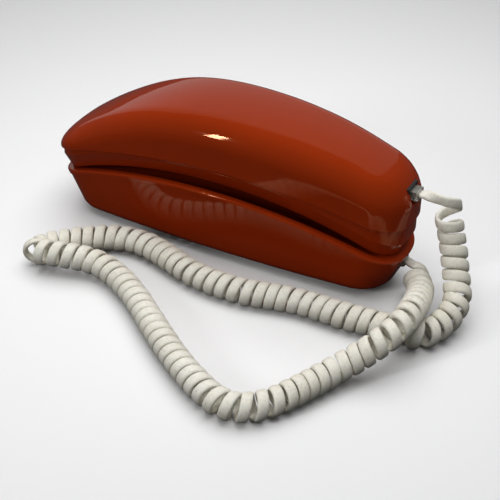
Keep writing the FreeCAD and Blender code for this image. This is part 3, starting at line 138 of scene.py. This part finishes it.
class Paint:
    """A Principled material and short ways to feed its sockets."""

    def __init__(self, name, roughness=0.4, **sockets):
        self.material = bpy.data.materials.new(name)
        self.material.use_nodes = True
        self.tree = self.material.node_tree
        self.shader = self.tree.nodes["Principled BSDF"]
        self.shader.inputs["Roughness"].default_value = roughness
        for socket, number in sockets.items():
            self.shader.inputs[socket.replace("_", " ")].default_value = number
        self.place = self.tree.nodes.new("ShaderNodeTexCoord").outputs["Object"]

    def link(self, source, socket):
        self.tree.links.new(source, self.shader.inputs[socket])

    def stretched(self, stretch):
        """Object coordinates scaled along the axes."""
        mapping = self.tree.nodes.new("ShaderNodeMapping")
        mapping.inputs["Scale"].default_value = stretch
        self.tree.links.new(self.place, mapping.inputs["Vector"])
        return mapping.outputs["Vector"]

    def noise(self, size, detail=3.0, rough=0.55, distortion=0.0, stretch=None):
        """Cloudy noise whose blots are about a size in metres."""
        node = self.tree.nodes.new("ShaderNodeTexNoise")
        node.inputs["Scale"].default_value = 1.0 / size
        node.inputs["Detail"].default_value = detail
        node.inputs["Roughness"].default_value = rough
        node.inputs["Distortion"].default_value = distortion
        self.tree.links.new(self.stretched(stretch) if stretch else self.place, node.inputs["Vector"])
        return node.outputs["Fac"]

    def specks(self, size):
        """Distance to the nearest of scattered points about a size apart, in parts of that size."""
        node = self.tree.nodes.new("ShaderNodeTexVoronoi")
        node.inputs["Scale"].default_value = 1.0 / size
        self.tree.links.new(self.place, node.inputs["Vector"])
        return node.outputs["Distance"]

    def pool(self, reach):
        """One at the object's origin, falling to zero at a reach in metres."""
        node = self.tree.nodes.new("ShaderNodeTexGradient")
        node.gradient_type = "SPHERICAL"
        self.tree.links.new(self.stretched((1.0 / reach,) * 3), node.inputs["Vector"])
        return node.outputs["Fac"]

    def ramp(self, source, *stops):
        """Colours or greys along a value, each stop a place and a colour."""
        node = self.tree.nodes.new("ShaderNodeValToRGB")
        band = node.color_ramp
        while len(band.elements) < len(stops):
            band.elements.new(0.5)
        for element, (place, colour) in zip(band.elements, stops):
            element.position = place
            element.color = colour if len(colour) == 4 else (*colour, 1.0)
        self.tree.links.new(source, node.inputs["Fac"])
        return node.outputs["Color"]

    def mix(self, factor, first, second):
        """Blend of two colours, each a socket or a plain colour."""
        node = self.tree.nodes.new("ShaderNodeMix")
        node.data_type = "RGBA"
        self.tree.links.new(factor, node.inputs["Factor"])
        for socket, item in (("A", first), ("B", second)):
            target = [entry for entry in node.inputs if entry.name == socket and entry.type == "RGBA"][0]
            if isinstance(item, tuple):
                target.default_value = (*item, 1.0)
            else:
                self.tree.links.new(item, target)
        return [entry for entry in node.outputs if entry.type == "RGBA"][0]

    def bump(self, height, strength, depth):
        """Surface relief from a value; depth is its reach in metres."""
        node = self.tree.nodes.new("ShaderNodeBump")
        node.inputs["Strength"].default_value = strength
        node.inputs["Distance"].default_value = depth
        self.tree.links.new(height, node.inputs["Height"])
        self.link(node.outputs["Normal"], "Normal")

    def seen(self):
        """One where the camera looks straight at a surface."""
        return self.tree.nodes.new("ShaderNodeLightPath").outputs["Is Camera Ray"]


def grey(level):
    return (level, level, level)


def shaded(colour, factor):
    """A colour made darker or lighter."""
    return tuple(min(1.0, part * factor) for part in colour)


def moulded(name, colour, roughness, spread=0.06, blot=0.03, relief=0.0004, strength=0.05, **sockets):
    """Moulded plastic: slow colour drift, a little dust, uneven gloss and a faint skin."""
    paint = Paint(name, roughness, **sockets)
    drift = paint.ramp(paint.noise(blot), (0.3, shaded(colour, 1 - spread)),
                       (0.7, shaded(colour, 1 + spread)))
    dust = paint.ramp(paint.specks(0.006), (0.02, grey(0.35)), (0.05, grey(0.0)))
    paint.link(paint.mix(dust, drift, shaded(colour, 1.5)), "Base Color")
    gloss = paint.ramp(paint.noise(0.012, 5.0), (0.3, grey(roughness * 0.8)), (0.75, grey(roughness * 1.3)))
    paint.link(gloss, "Roughness")
    paint.bump(paint.noise(relief, 2.0), strength, 0.0001)
    return paint.material


SHELL_COLOUR = (0.30, 0.026, 0.0026)


def shell_material():
    """Glossy burnt orange plastic with fine handling scratches."""
    paint = Paint("shell_plastic", 0.12, Specular_IOR_Level=0.5, Specular_Tint=(1.0, 0.5, 0.28, 1.0))
    drift = paint.ramp(paint.noise(0.06), (0.3, shaded(SHELL_COLOUR, 0.95)),
                       (0.7, shaded(SHELL_COLOUR, 1.06)))
    dust = paint.ramp(paint.specks(0.009), (0.012, grey(0.25)), (0.03, grey(0.0)))
    paint.link(paint.mix(dust, drift, (0.45, 0.12, 0.05)), "Base Color")
    scratches = paint.noise(0.0012, 4.0, 0.6, 0.6, stretch=(0.05, 1.0, 1.0))
    gloss = paint.ramp(scratches, (0.45, grey(0.04)), (0.72, grey(0.11)))
    paint.link(gloss, "Roughness")
    paint.bump(paint.noise(0.004, 2.0), 0.02, 0.0002)
    return paint.material


def cord_material():
    """Ivory vinyl gone slightly yellow, with brown smudges and dirt specks."""
    paint = Paint("cord_vinyl", 0.38, Specular_IOR_Level=0.45, Subsurface_Weight=0.06)
    paint.shader.inputs["Subsurface Radius"].default_value = (0.003, 0.0022, 0.0014)
    ivory = paint.ramp(paint.noise(0.025), (0.3, (0.83, 0.80, 0.69)), (0.7, (0.91, 0.89, 0.80)))
    grime = paint.ramp(paint.noise(0.0016, 6.0, 0.7, 0.4), (0.48, grey(0.0)), (0.74, grey(0.42)))
    worn = paint.mix(grime, ivory, (0.44, 0.40, 0.31))
    smudge = paint.ramp(paint.noise(0.018, 6.0, 0.7, 0.4), (0.60, grey(0.0)), (0.78, grey(0.35)))
    dirty = paint.mix(smudge, worn, (0.44, 0.32, 0.18))
    specks = paint.ramp(paint.specks(0.0035), (0.05, grey(0.6)), (0.10, grey(0.0)))
    paint.link(paint.mix(specks, dirty, (0.20, 0.14, 0.08)), "Base Color")
    gloss = paint.ramp(paint.noise(0.006, 5.0), (0.3, grey(0.30)), (0.7, grey(0.5)))
    paint.link(gloss, "Roughness")
    paint.bump(paint.noise(0.0009, 3.0), 0.12, 0.0001)
    return paint.material


def rubber_material():
    paint = Paint("foot_rubber", 0.75)
    paint.link(paint.ramp(paint.noise(0.004, 5.0), (0.3, grey(0.012)), (0.7, grey(0.035))), "Base Color")
    paint.bump(paint.noise(0.0005, 4.0), 0.35, 0.0001)
    return paint.material


def board_material():
    """Brown paper laminate with a fibre pattern."""
    paint = Paint("board_laminate", 0.55)
    fibre = paint.noise(0.0012, 5.0, 0.6, stretch=(0.2, 1.0, 1.0))
    paint.link(paint.ramp(fibre, (0.3, (0.20, 0.11, 0.045)), (0.7, (0.30, 0.18, 0.08))), "Base Color")
    paint.bump(fibre, 0.1, 0.0001)
    return paint.material


def metal_material(name, colour, roughness, stretch):
    """Sheet or turned metal with a brushed grain and slight tarnish."""
    paint = Paint(name, roughness, Metallic=1.0)
    tarnish = paint.noise(0.008, 4.0)
    paint.link(paint.ramp(tarnish, (0.35, shaded(colour, 0.72)), (0.7, colour)), "Base Color")
    grain = paint.noise(0.0008, 3.0, stretch=stretch)
    gloss = paint.ramp(grain, (0.3, grey(roughness * 0.7)), (0.7, grey(roughness * 1.5)))
    paint.link(gloss, "Roughness")
    paint.bump(grain, 0.08, 0.0001)
    return paint.material


WINDING_SCALE = 500.0


def winding_material():
    """Enamelled copper wire laid in turns about the upright bobbin, with painted shade in the grooves
    between the turns.
    """
    paint = Paint("coil_winding", 0.3, Metallic=0.7)
    wave = paint.tree.nodes.new("ShaderNodeTexWave")
    wave.bands_direction = "Z"
    wave.inputs["Scale"].default_value = WINDING_SCALE
    paint.tree.links.new(paint.place, wave.inputs["Vector"])
    turns = wave.outputs["Fac"]
    # Painted shade: each turn is coloured lighter along its middle and darker at its edges, standing in for
    # shade in the grooves between turns.
    paint.link(paint.ramp(turns, (0.1, (0.16, 0.04, 0.012)), (0.8, (0.50, 0.17, 0.06))), "Base Color")
    paint.bump(turns, 0.6, 0.0002)
    return paint.material


def plug_material():
    """Clear plug plastic, slightly smoky, with faint haze."""
    paint = Paint("plug_clear", 0.12, Transmission_Weight=0.75, IOR=1.55)
    haze = paint.noise(0.003, 4.0)
    paint.link(paint.ramp(haze, (0.3, (0.55, 0.53, 0.48)), (0.7, (0.74, 0.72, 0.66))), "Base Color")
    paint.link(paint.ramp(haze, (0.3, grey(0.08)), (0.7, grey(0.22))), "Roughness")
    paint.bump(paint.noise(0.0006), 0.08, 0.0001)
    return paint.material


SLOT_MATERIALS = {
    "shell": shell_material(),
    "trim": moulded("trim_plastic", (0.035, 0.030, 0.028), 0.4, spread=0.2, strength=0.25),
    "key": moulded("key_plastic", (0.72, 0.69, 0.60), 0.32, spread=0.05, strength=0.15),
    "rubber": rubber_material(),
    "board": board_material(),
    "black_plastic": moulded("black_plastic", (0.018, 0.017, 0.017), 0.45, spread=0.25, strength=0.3),
    "capsule": moulded("capsule_plastic", (0.06, 0.055, 0.05), 0.5, spread=0.2, strength=0.4),
    "steel": metal_material("plated_steel", (0.60, 0.59, 0.56), 0.3, (1.0, 0.1, 1.0)),
    "gong": metal_material("gong_brass", (0.62, 0.47, 0.22), 0.22, (0.2, 0.2, 1.0)),
    "winding": winding_material(),
    "plug": plug_material(),
    "cord": cord_material(),
}


def finish_nodes():
    """Every solid takes the finish of its slot."""
    for piece in frame["record"]["subparts"]:
        for slot in NODES[piece["node"]].material_slots:
            slot.material = SLOT_MATERIALS[piece["material_slot"]]


# Mesh helpers


def finished(mesh, name, material, smooth=True):
    """A bmesh as a linked object with a material."""
    data = bpy.data.meshes.new(name)
    mesh.to_mesh(data)
    mesh.free()
    for polygon in data.polygons:
        polygon.use_smooth = smooth
    thing = bpy.data.objects.new(name, data)
    bpy.context.collection.objects.link(thing)
    data.materials.append(material)
    return thing


# Handset shell

WALL = 2.0 * MM
LOWER_BEVEL = 0.5 * MM
WALL_ROWS = 5
ROLL_ROWS = 12
CROWN_ROWS = 10
ROLL_WIDTH = 12.0 * MM
ROLL_HEIGHT = 13.5 * MM
ROLL_LIMIT = 0.8
CROWN_REACH = 10.0 * MM
LIFT_HEIGHT = 3.4 * MM
LIFT_MIDDLE = -40.0 * MM
LIFT_REACH = 45.0 * MM
SIDE_STATIONS = 90
END_STATIONS = 60
FAR_OFF = 0.4
LEVELS = 60
MOUTH_MARGIN = 1.4 * MM
MERGE_DISTANCE = 0.01 * MM
SHARP_ANGLE = math.radians(38)


class Moulding:
    """Looks up the outer surface of a solid by straight lines."""

    def __init__(self, node):
        mesh = bmesh.new()
        mesh.from_mesh(NODES[node].data)
        mesh.transform(NODES[node].matrix_world)
        self.tree = BVHTree.FromBMesh(mesh)
        mesh.free()

    def meet(self, start, direction):
        """First place that a line from outside meets."""
        return self.tree.ray_cast(start, direction)[0]

    def rim(self, spine, outward, low, high):
        """Widest place in a direction from the spine, brought down to the table."""
        widest = 0.0
        for step in range(LEVELS):
            level = low + (high - low) * step / LEVELS
            place = self.meet(spine + outward * FAR_OFF + UP * level, -outward)
            if place:
                widest = max(widest, (place - spine).dot(outward))
        return spine + outward * widest

    def crown(self, place):
        """Height of the top over a place."""
        return self.meet(Vector((place.x, place.y, FAR_OFF)), -UP).z

    def foot(self, place):
        """Height of the underside over a place."""
        return self.meet(Vector((place.x, place.y, 0.0)), UP).z


def stations(half_spine):
    """Spine points and outward directions once round the handset."""
    for turn in (1, -1):
        for step in range(SIDE_STATIONS):
            share = 2 * step / SIDE_STATIONS - 1
            yield Vector((turn * half_spine * share, 0, 0)), NEAR * turn
        for step in range(END_STATIONS):
            angle = math.pi * step / END_STATIONS
            yield OUT * turn * half_spine, turn * (OUT * math.sin(angle) + NEAR * math.cos(angle))


def lifted(place):
    """How much fuller the crown is than an even arch."""
    return LIFT_HEIGHT * math.exp(-((place.x - LIFT_MIDDLE) / LIFT_REACH) ** 2)


def shell_section(solid, spine, outward, low, high):
    """Points from the lower edge over the shoulder to the spine."""
    rim = solid.rim(spine, outward, low, high)
    foot = solid.foot(rim - outward * WALL / 2)
    span = (rim - spine).length
    inner, outer = rim - outward * (CROWN_REACH + WALL), rim - outward * CROWN_REACH
    slope = (solid.crown(outer) - solid.crown(inner)) / WALL

    def height(inset):
        """Crown at a distance in from the wall, run on over the shoulder."""
        place = rim - outward * inset
        if inset > CROWN_REACH:
            return solid.crown(place) + lifted(place)
        return solid.crown(outer) + slope * (CROWN_REACH - inset) + lifted(place)

    roll = min(ROLL_HEIGHT, (height(0.0) - foot) * ROLL_LIMIT)
    top = height(0.0) - roll
    yield rim - outward * LOWER_BEVEL + UP * foot
    for row in range(WALL_ROWS):
        level = foot + LOWER_BEVEL + (top - foot - LOWER_BEVEL) * row / WALL_ROWS
        yield rim + UP * level
    for row in range(ROLL_ROWS):
        angle = math.pi / 2 * row / ROLL_ROWS
        inset = ROLL_WIDTH * (1 - math.cos(angle))
        yield rim - outward * inset + UP * (height(inset) - roll * (1 - math.sin(angle)))
    for row in range(CROWN_ROWS + 1):
        inset = ROLL_WIDTH + (span - ROLL_WIDTH) * row / CROWN_ROWS
        yield rim - outward * inset + UP * height(inset)


def apply_modifiers(thing):
    """Make a thing's modifiers part of its mesh."""
    graph = bpy.context.evaluated_depsgraph_get()
    data = bpy.data.meshes.new_from_object(thing.evaluated_get(graph))
    thing.modifiers.clear()
    thing.data = data


def cutter_box(low, high):
    """A plain box between two corners, for cutting."""
    mesh = bmesh.new()
    bmesh.ops.create_cube(mesh, size=1.0)
    for vertex in mesh.verts:
        vertex.co = Vector((l + (h - l) * (part + 0.5) for l, h, part in zip(low, high, vertex.co)))
    return finished(mesh, "cutter", SLOT_MATERIALS["shell"], smooth=False)


def add_shell():
    """The handset's back, softer at the shoulders and fuller at the crown than its solid."""
    node = "handset_back_housing"
    solid = Moulding(node)
    low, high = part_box(node)
    half_spine = (high[0] - low[0] - high[1] + low[1]) / 2
    mesh = bmesh.new()
    rows = [[mesh.verts.new(point) for point in shell_section(solid, spine, outward, low[2], high[2])]
            for spine, outward in stations(half_spine)]
    for row, after in zip(rows, rows[1:] + rows[:1]):
        for index in range(len(row) - 1):
            mesh.faces.new((row[index], after[index], after[index + 1], row[index + 1]))
    bmesh.ops.remove_doubles(mesh, verts=mesh.verts, dist=MERGE_DISTANCE)
    bmesh.ops.recalc_face_normals(mesh, faces=mesh.faces)
    shell = finished(mesh, "handset_shell", SLOT_MATERIALS["shell"])
    thick = shell.modifiers.new("wall", "SOLIDIFY")
    thick.thickness = WALL
    thick.offset = -1.0
    plug_low, plug_high = (Vector(corner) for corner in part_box("cord_plug_handset"))
    margin = Vector((0, MOUTH_MARGIN, MOUTH_MARGIN))
    cutter = cutter_box(plug_low - margin, plug_high + margin + OUT * FAR_OFF)
    cut = shell.modifiers.new("mouth", "BOOLEAN")
    cut.operation = "DIFFERENCE"
    cut.object = cutter
    apply_modifiers(shell)
    bpy.data.objects.remove(cutter)
    shell.data.set_sharp_from_angle(angle=SHARP_ANGLE)
    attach(shell, "handset")
    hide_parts(node)


# Key legends

LEGENDS = [
    # node, sign; seen from below, the nodes' columns run from right to left
    ("key_3", "1"), ("key_2", "2"), ("key_1", "3"),
    ("key_6", "4"), ("key_5", "5"), ("key_4", "6"),
    ("key_9", "7"), ("key_8", "8"), ("key_7", "9"),
    ("key_hash", "*"), ("key_0", "0"), ("key_star", "#"),
]
LEGEND_SIZE = 6.0 * MM
LEGEND_RELIEF = 0.06 * MM
LEGEND_READING = Matrix(((0, -1, 0), (-1, 0, 0), (0, 0, -1))).to_4x4()


def add_legends():
    """A printed sign on each key, upright with the ear end at the top."""
    for node, sign in LEGENDS:
        low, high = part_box(node)
        text = bpy.data.curves.new("legend", "FONT")
        text.body = sign
        text.size = LEGEND_SIZE
        text.extrude = LEGEND_RELIEF
        text.align_x = "CENTER"
        text.align_y = "CENTER"
        holder = bpy.data.objects.new("legend", text)
        data = bpy.data.meshes.new_from_object(holder)
        bpy.data.objects.remove(holder)
        middle = (low + high) / 2
        data.transform(Matrix.Translation((middle.x, middle.y, low.z)) @ LEGEND_READING)
        legend = bpy.data.objects.new("legend_" + node, data)
        bpy.context.collection.objects.link(legend)
        data.materials.append(SLOT_MATERIALS["black_plastic"])
        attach(legend, *body_of(NODES[node]))


# Curly cord

CORD_ROUTE = [Vector(point) * MM for point in (
    (108.6, 1, 61), (120.6, 6.4, 61.2), (123.8, 5.8, 46), (127.6, 3.6, 36), (131.6, -1.4, 27.5),
    (135.6, -7, 20), (139.6, -14.5, 14.6), (139, -23, 10.6), (136.4, -32, 8), (131, -42, 7.6),
    (119.2, -43.4, 7.6), (106, -43.6, 7.6), (91, -45.8, 7.6), (76, -45.6, 7.6), (62, -46.4, 7.6),
    (48, -50, 7.6), (34, -53.4, 7.6), (18, -53.8, 7.6), (3, -52.2, 7.6), (-11.3, -47.3, 7.6),
    (-26, -42.6, 7.6), (-39, -41, 7.6), (-52, -43.6, 7.6), (-64, -52, 7.6), (-75, -62.4, 7.6),
    (-81.4, -70.4, 7.8), (-81.6, -80.2, 10), (-72, -79.4, 12), (-61.5, -76.2, 11.8), (-51, -71.4, 10),
    (-39, -70.8, 8.2), (-24, -76.8, 7.6), (-9, -86, 7.6), (7, -98, 7.6), (23, -109.6, 7.6),
    (39, -120, 7.6), (54, -128, 7.6), (68, -133.6, 7.6), (80, -131.4, 7.6), (89.5, -121.4, 7.6),
    (96, -108, 7.6), (101.6, -95, 7.6), (107, -84.4, 9), (114, -76.4, 13.4), (121.6, -69, 20),
    (126.2, -57, 23.6), (126, -43, 23.2), (122.6, -26.6, 17.4), (118.4, -12, 12.4), (113.8, -4.6, 11.4),
    (109.8, 0.2, 11.2), (102.5, 5, 15.5))]
RIBBON_WIDTH = 5.6 * MM
RIBBON_THICKNESS = 2.6 * MM
RIBBON_SIDES = 14
RIBBON_SQUARENESS = 2.7
CURL_RADIUS = 6.0 * MM
CURL_GAP = 0.6 * MM
CURL_STEPS = 30
FIRST_GAP = 18.0 * MM
FIRST_MIDDLE = 5.5 * MM
FIRST_REACH = 5.5 * MM
BEND_SPAN = 5.0 * MM
WIDEST_FAN = 1.16
SPLINE_STEPS = 24
LEAD_STEPS = 24
LEAD_RISE = 0.22
TAIL_PULL = 0.5
SEAT_PULL = 0.8
PLUG_SEAT = 1.2 * MM
# Small waves that make the curls uneven: share, rate and phase
PITCH_WAVES = ((0.025, 410.0, 0.0), (0.02, 173.0, 1.0))
RADIUS_WAVES = ((0.012, 0.37, 0.0), (0.010, 0.113, 2.0))


def read_spline(points):
    """Closely spaced points on the smooth line that a route controls."""
    data = bpy.data.curves.new("cord_axis", "CURVE")
    data.dimensions = "3D"
    data.resolution_u = SPLINE_STEPS
    spline = data.splines.new("NURBS")
    spline.points.add(len(points) - 1)
    for control, point in zip(spline.points, points):
        control.co = (*point, 1.0)
    spline.order_u = 3
    spline.use_endpoint_u = True
    holder = bpy.data.objects.new("cord_axis", data)
    mesh = bpy.data.meshes.new_from_object(holder)
    places = [vertex.co.copy() for vertex in mesh.vertices]
    bpy.data.objects.remove(holder)
    bpy.data.meshes.remove(mesh)
    bpy.data.curves.remove(data)
    return places


class Axis:
    """The middle line of the curls, by distance along it."""

    def __init__(self, points):
        self.points = points
        self.reach = [0.0]
        for start, stop in zip(points, points[1:]):
            self.reach.append(self.reach[-1] + (stop - start).length)
        self.length = self.reach[-1]
        self.span = 0

    def at(self, distance):
        """Place on the line."""
        distance = min(max(distance, 0.0), self.length)
        while self.span > 0 and self.reach[self.span] > distance:
            self.span -= 1
        while self.span < len(self.points) - 2 and self.reach[self.span + 1] < distance:
            self.span += 1
        start, stop = self.reach[self.span], self.reach[self.span + 1]
        share = (distance - start) / (stop - start)
        return self.points[self.span].lerp(self.points[self.span + 1], share)

    def heading(self, distance):
        """Direction of the line, evened out over a short span."""
        low = max(distance - BEND_SPAN / 2, 0.0)
        high = min(distance + BEND_SPAN / 2, self.length)
        return (self.at(high) - self.at(low)).normalized()

    def bend(self, distance):
        """Curvature of the line, evened out over a short span."""
        low = max(distance - BEND_SPAN, 0.0)
        high = min(distance + BEND_SPAN, self.length)
        return self.heading(low).angle(self.heading(high)) / (high - low)


def unevenness(value, waves):
    """A factor near one that wanders with a value."""
    return 1.0 + sum(share * math.sin(value * rate + phase) for share, rate, phase in waves)


def curl_pitch(axis, distance):
    """Spacing of the curls: wide in the first one, and a little wider in a bend."""
    opened = FIRST_GAP * math.exp(-((distance - FIRST_MIDDLE) / FIRST_REACH) ** 2)
    close = RIBBON_WIDTH + CURL_GAP + opened
    fan = 1.0 / max(1.0 - axis.bend(distance) * CURL_RADIUS, 1.0 / WIDEST_FAN)
    return close * fan * unevenness(distance, PITCH_WAVES)


def curls(axis):
    """Places and outward directions along a left-handed helix about the axis."""
    distances = [0.0]
    phases = [0.0]
    while distances[-1] < axis.length:
        pitch = curl_pitch(axis, distances[-1])
        distances.append(distances[-1] + pitch / CURL_STEPS)
        phases.append(phases[-1] + 2 * math.pi / CURL_STEPS)
    side = NEAR
    sides = []
    for distance in distances:
        heading = axis.heading(distance)
        side = (side - heading * side.dot(heading)).normalized()
        sides.append((side, heading.cross(side)))
    last_side, last_cross = sides[-1]
    ending = math.atan2(-UP.dot(last_cross), UP.dot(last_side))
    spare = (phases[-1] - ending) % (2 * math.pi)
    evened = (phases[-1] - spare) / phases[-1]
    for distance, phase, (along, across) in zip(distances, phases, sides):
        turn = phase * evened
        outward = along * math.cos(turn) - across * math.sin(turn)
        radius = CURL_RADIUS * unevenness(turn, RADIUS_WAVES)
        yield axis.at(distance) + outward * radius, outward


def hermite(start, start_pull, stop, stop_pull, share):
    """Place on a smooth run between two points with given pulls."""
    square = share * share
    cube = square * share
    return (start * (2 * cube - 3 * square + 1) + start_pull * (cube - 2 * square + share)
            + stop * (3 * square - 2 * cube) + stop_pull * (cube - square))


def lead(start, start_pull, stop, stop_pull, first_flat, last_flat):
    """Points and flat-side directions of an uncoiled end, without its last point."""
    for step in range(LEAD_STEPS):
        share = step / LEAD_STEPS
        ease = share * share * (3 - 2 * share)
        yield hermite(start, start_pull, stop, stop_pull, share), first_flat.lerp(last_flat, ease)


def cord_line():
    """Every point of the cord from plug to plug, with the direction that its flat side faces."""
    coil = list(curls(Axis(read_spline(CORD_ROUTE[1:-1]))))
    coil_start, coil_stop = coil[0][0], coil[-1][0]
    first_heading = (coil[1][0] - coil_start).normalized()
    last_heading = (coil_stop - coil[-2][0]).normalized()
    seat = CORD_ROUTE[0] - OUT * PLUG_SEAT
    reach = (coil_start - seat).length
    rise = (OUT + LEAD_RISE * UP) * reach
    line = list(lead(seat, rise, coil_start, first_heading * reach, UP, coil[0][1]))
    line += coil
    end_seat = CORD_ROUTE[-1] - OUT * PLUG_SEAT
    reach = (end_seat - coil_stop).length
    tail_pull, seat_pull = last_heading * reach * TAIL_PULL, -OUT * reach * SEAT_PULL
    tail = list(lead(coil_stop, tail_pull, end_seat, seat_pull, coil[-1][1], UP))
    return line + tail[1:] + [(end_seat, UP)]


def ribbon_section():
    """Rounded rectangle, as parts of the thickness and of the width."""
    for side in range(RIBBON_SIDES):
        turn = 2 * math.pi * side / RIBBON_SIDES
        power = 2.0 / RIBBON_SQUARENESS
        across = math.copysign(abs(math.cos(turn)) ** power, math.cos(turn))
        along = math.copysign(abs(math.sin(turn)) ** power, math.sin(turn))
        yield across * RIBBON_THICKNESS / 2, along * RIBBON_WIDTH / 2


def ribbon_mesh(line):
    """A closed rounded ribbon along the line."""
    section = list(ribbon_section())
    mesh = bmesh.new()
    rings = []
    for index, (place, flat) in enumerate(line):
        before = line[max(index - 1, 0)][0]
        after = line[min(index + 1, len(line) - 1)][0]
        heading = (after - before).normalized()
        flat = (flat - heading * flat.dot(heading)).normalized()
        broad = heading.cross(flat)
        rings.append([mesh.verts.new(place + flat * thick + broad * wide) for thick, wide in section])
    for ring, after in zip(rings, rings[1:]):
        for side in range(RIBBON_SIDES):
            other = (side + 1) % RIBBON_SIDES
            mesh.faces.new((ring[side], ring[other], after[other], after[side]))
    mesh.faces.new(list(reversed(rings[0])))
    mesh.faces.new(rings[-1])
    bmesh.ops.recalc_face_normals(mesh, faces=mesh.faces)
    return finished(mesh, "curly_cord", SLOT_MATERIALS["cord"])


# The cord follows the base before the foot and the handset past the top
STRETCH_FOOT = Vector((138.5, -13.0, 15.5)) * MM
STRETCH_TOP = STRETCH_FOOT + Vector((10.9, 13.0, 21.7)) * MM


def add_cord():
    """The curly cord from the handset's plug to the base's."""
    line = cord_line()
    cord = ribbon_mesh(line)
    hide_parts("handset_cord")
    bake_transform(cord, "base", "handset", start=STRETCH_FOOT, end=STRETCH_TOP)
    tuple(CORD_ROUTE[0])


# Floor and light

FLOOR_HALF = 3.0
FLOOR_COLOUR = (0.97, 0.97, 0.975)
BOUNCE_COLOUR = (0.05, 0.05, 0.05)
FLOOR_DROP = 0.2 * MM
POOL_REACH = 0.42
# Brightness of the floor from the edge of the pool of light to its middle: place and share
POOL_LEVELS = ((0.0, 0.60), (0.45, 0.83), (0.85, 1.0))


def add_floor():
    """Pale paper to the camera, and a dark floor to reflections and bounced light."""
    paint = Paint("floor_paper", 0.9, Specular_IOR_Level=0.1)
    levels = [(place, shaded(FLOOR_COLOUR, share)) for place, share in POOL_LEVELS]
    pale = paint.ramp(paint.pool(POOL_REACH), *levels)
    paint.link(paint.mix(paint.seen(), BOUNCE_COLOUR, pale), "Base Color")
    mesh = bmesh.new()
    corners = [(-1, -1), (1, -1), (1, 1), (-1, 1)]
    mesh.faces.new([mesh.verts.new((FLOOR_HALF * x, FLOOR_HALF * y, -FLOOR_DROP)) for x, y in corners])
    finished(mesh, "floor", paint.material, smooth=False)


LAMPS = [
    # name, azimuth, height, distance, width, length, power, whether it shows in reflections
    ("top_soft", 190, 78, 1.3, 1.4, 1.4, 14.5, False),
    ("front_soft", 15, 66, 1.5, 1.0, 1.0, 4.2, False),
    ("back_panel", 212, 32, 1.6, 2.2, 1.9, 4.2, True),
    ("window", 335, 27, 1.2, 0.07, 0.26, 2.8, True),
    ("side_fill", 75, 44, 1.5, 0.8, 0.8, 0.5, False),
]
LAMP_TARGET = Vector((0, 0, 0.04))
WORLD_LEVEL = 0.11


def add_lamps():
    """Area lamps around the telephone and an even, dim sky."""
    for name, azimuth, height, distance, width, length, power, reflected in LAMPS:
        data = bpy.data.lights.new(name, "AREA")
        data.shape = "RECTANGLE"
        data.size = width
        data.size_y = length
        data.energy = power
        lamp = bpy.data.objects.new(name, data)
        bpy.context.collection.objects.link(lamp)
        lamp.visible_glossy = reflected
        aim(lamp, distance * toward(math.radians(azimuth), math.radians(height)), LAMP_TARGET)
    world = bpy.data.worlds.new("studio")
    bpy.context.scene.world = world
    world.use_nodes = True
    back = world.node_tree.nodes["Background"]
    back.inputs["Color"].default_value = (1.0, 1.0, 1.0, 1.0)
    back.inputs["Strength"].default_value = WORLD_LEVEL


finish_nodes()
add_shell()
add_legends()
add_cord()
add_floor()
add_lamps()
add_camera()
bpy.context.scene.view_settings.view_transform = "Standard"
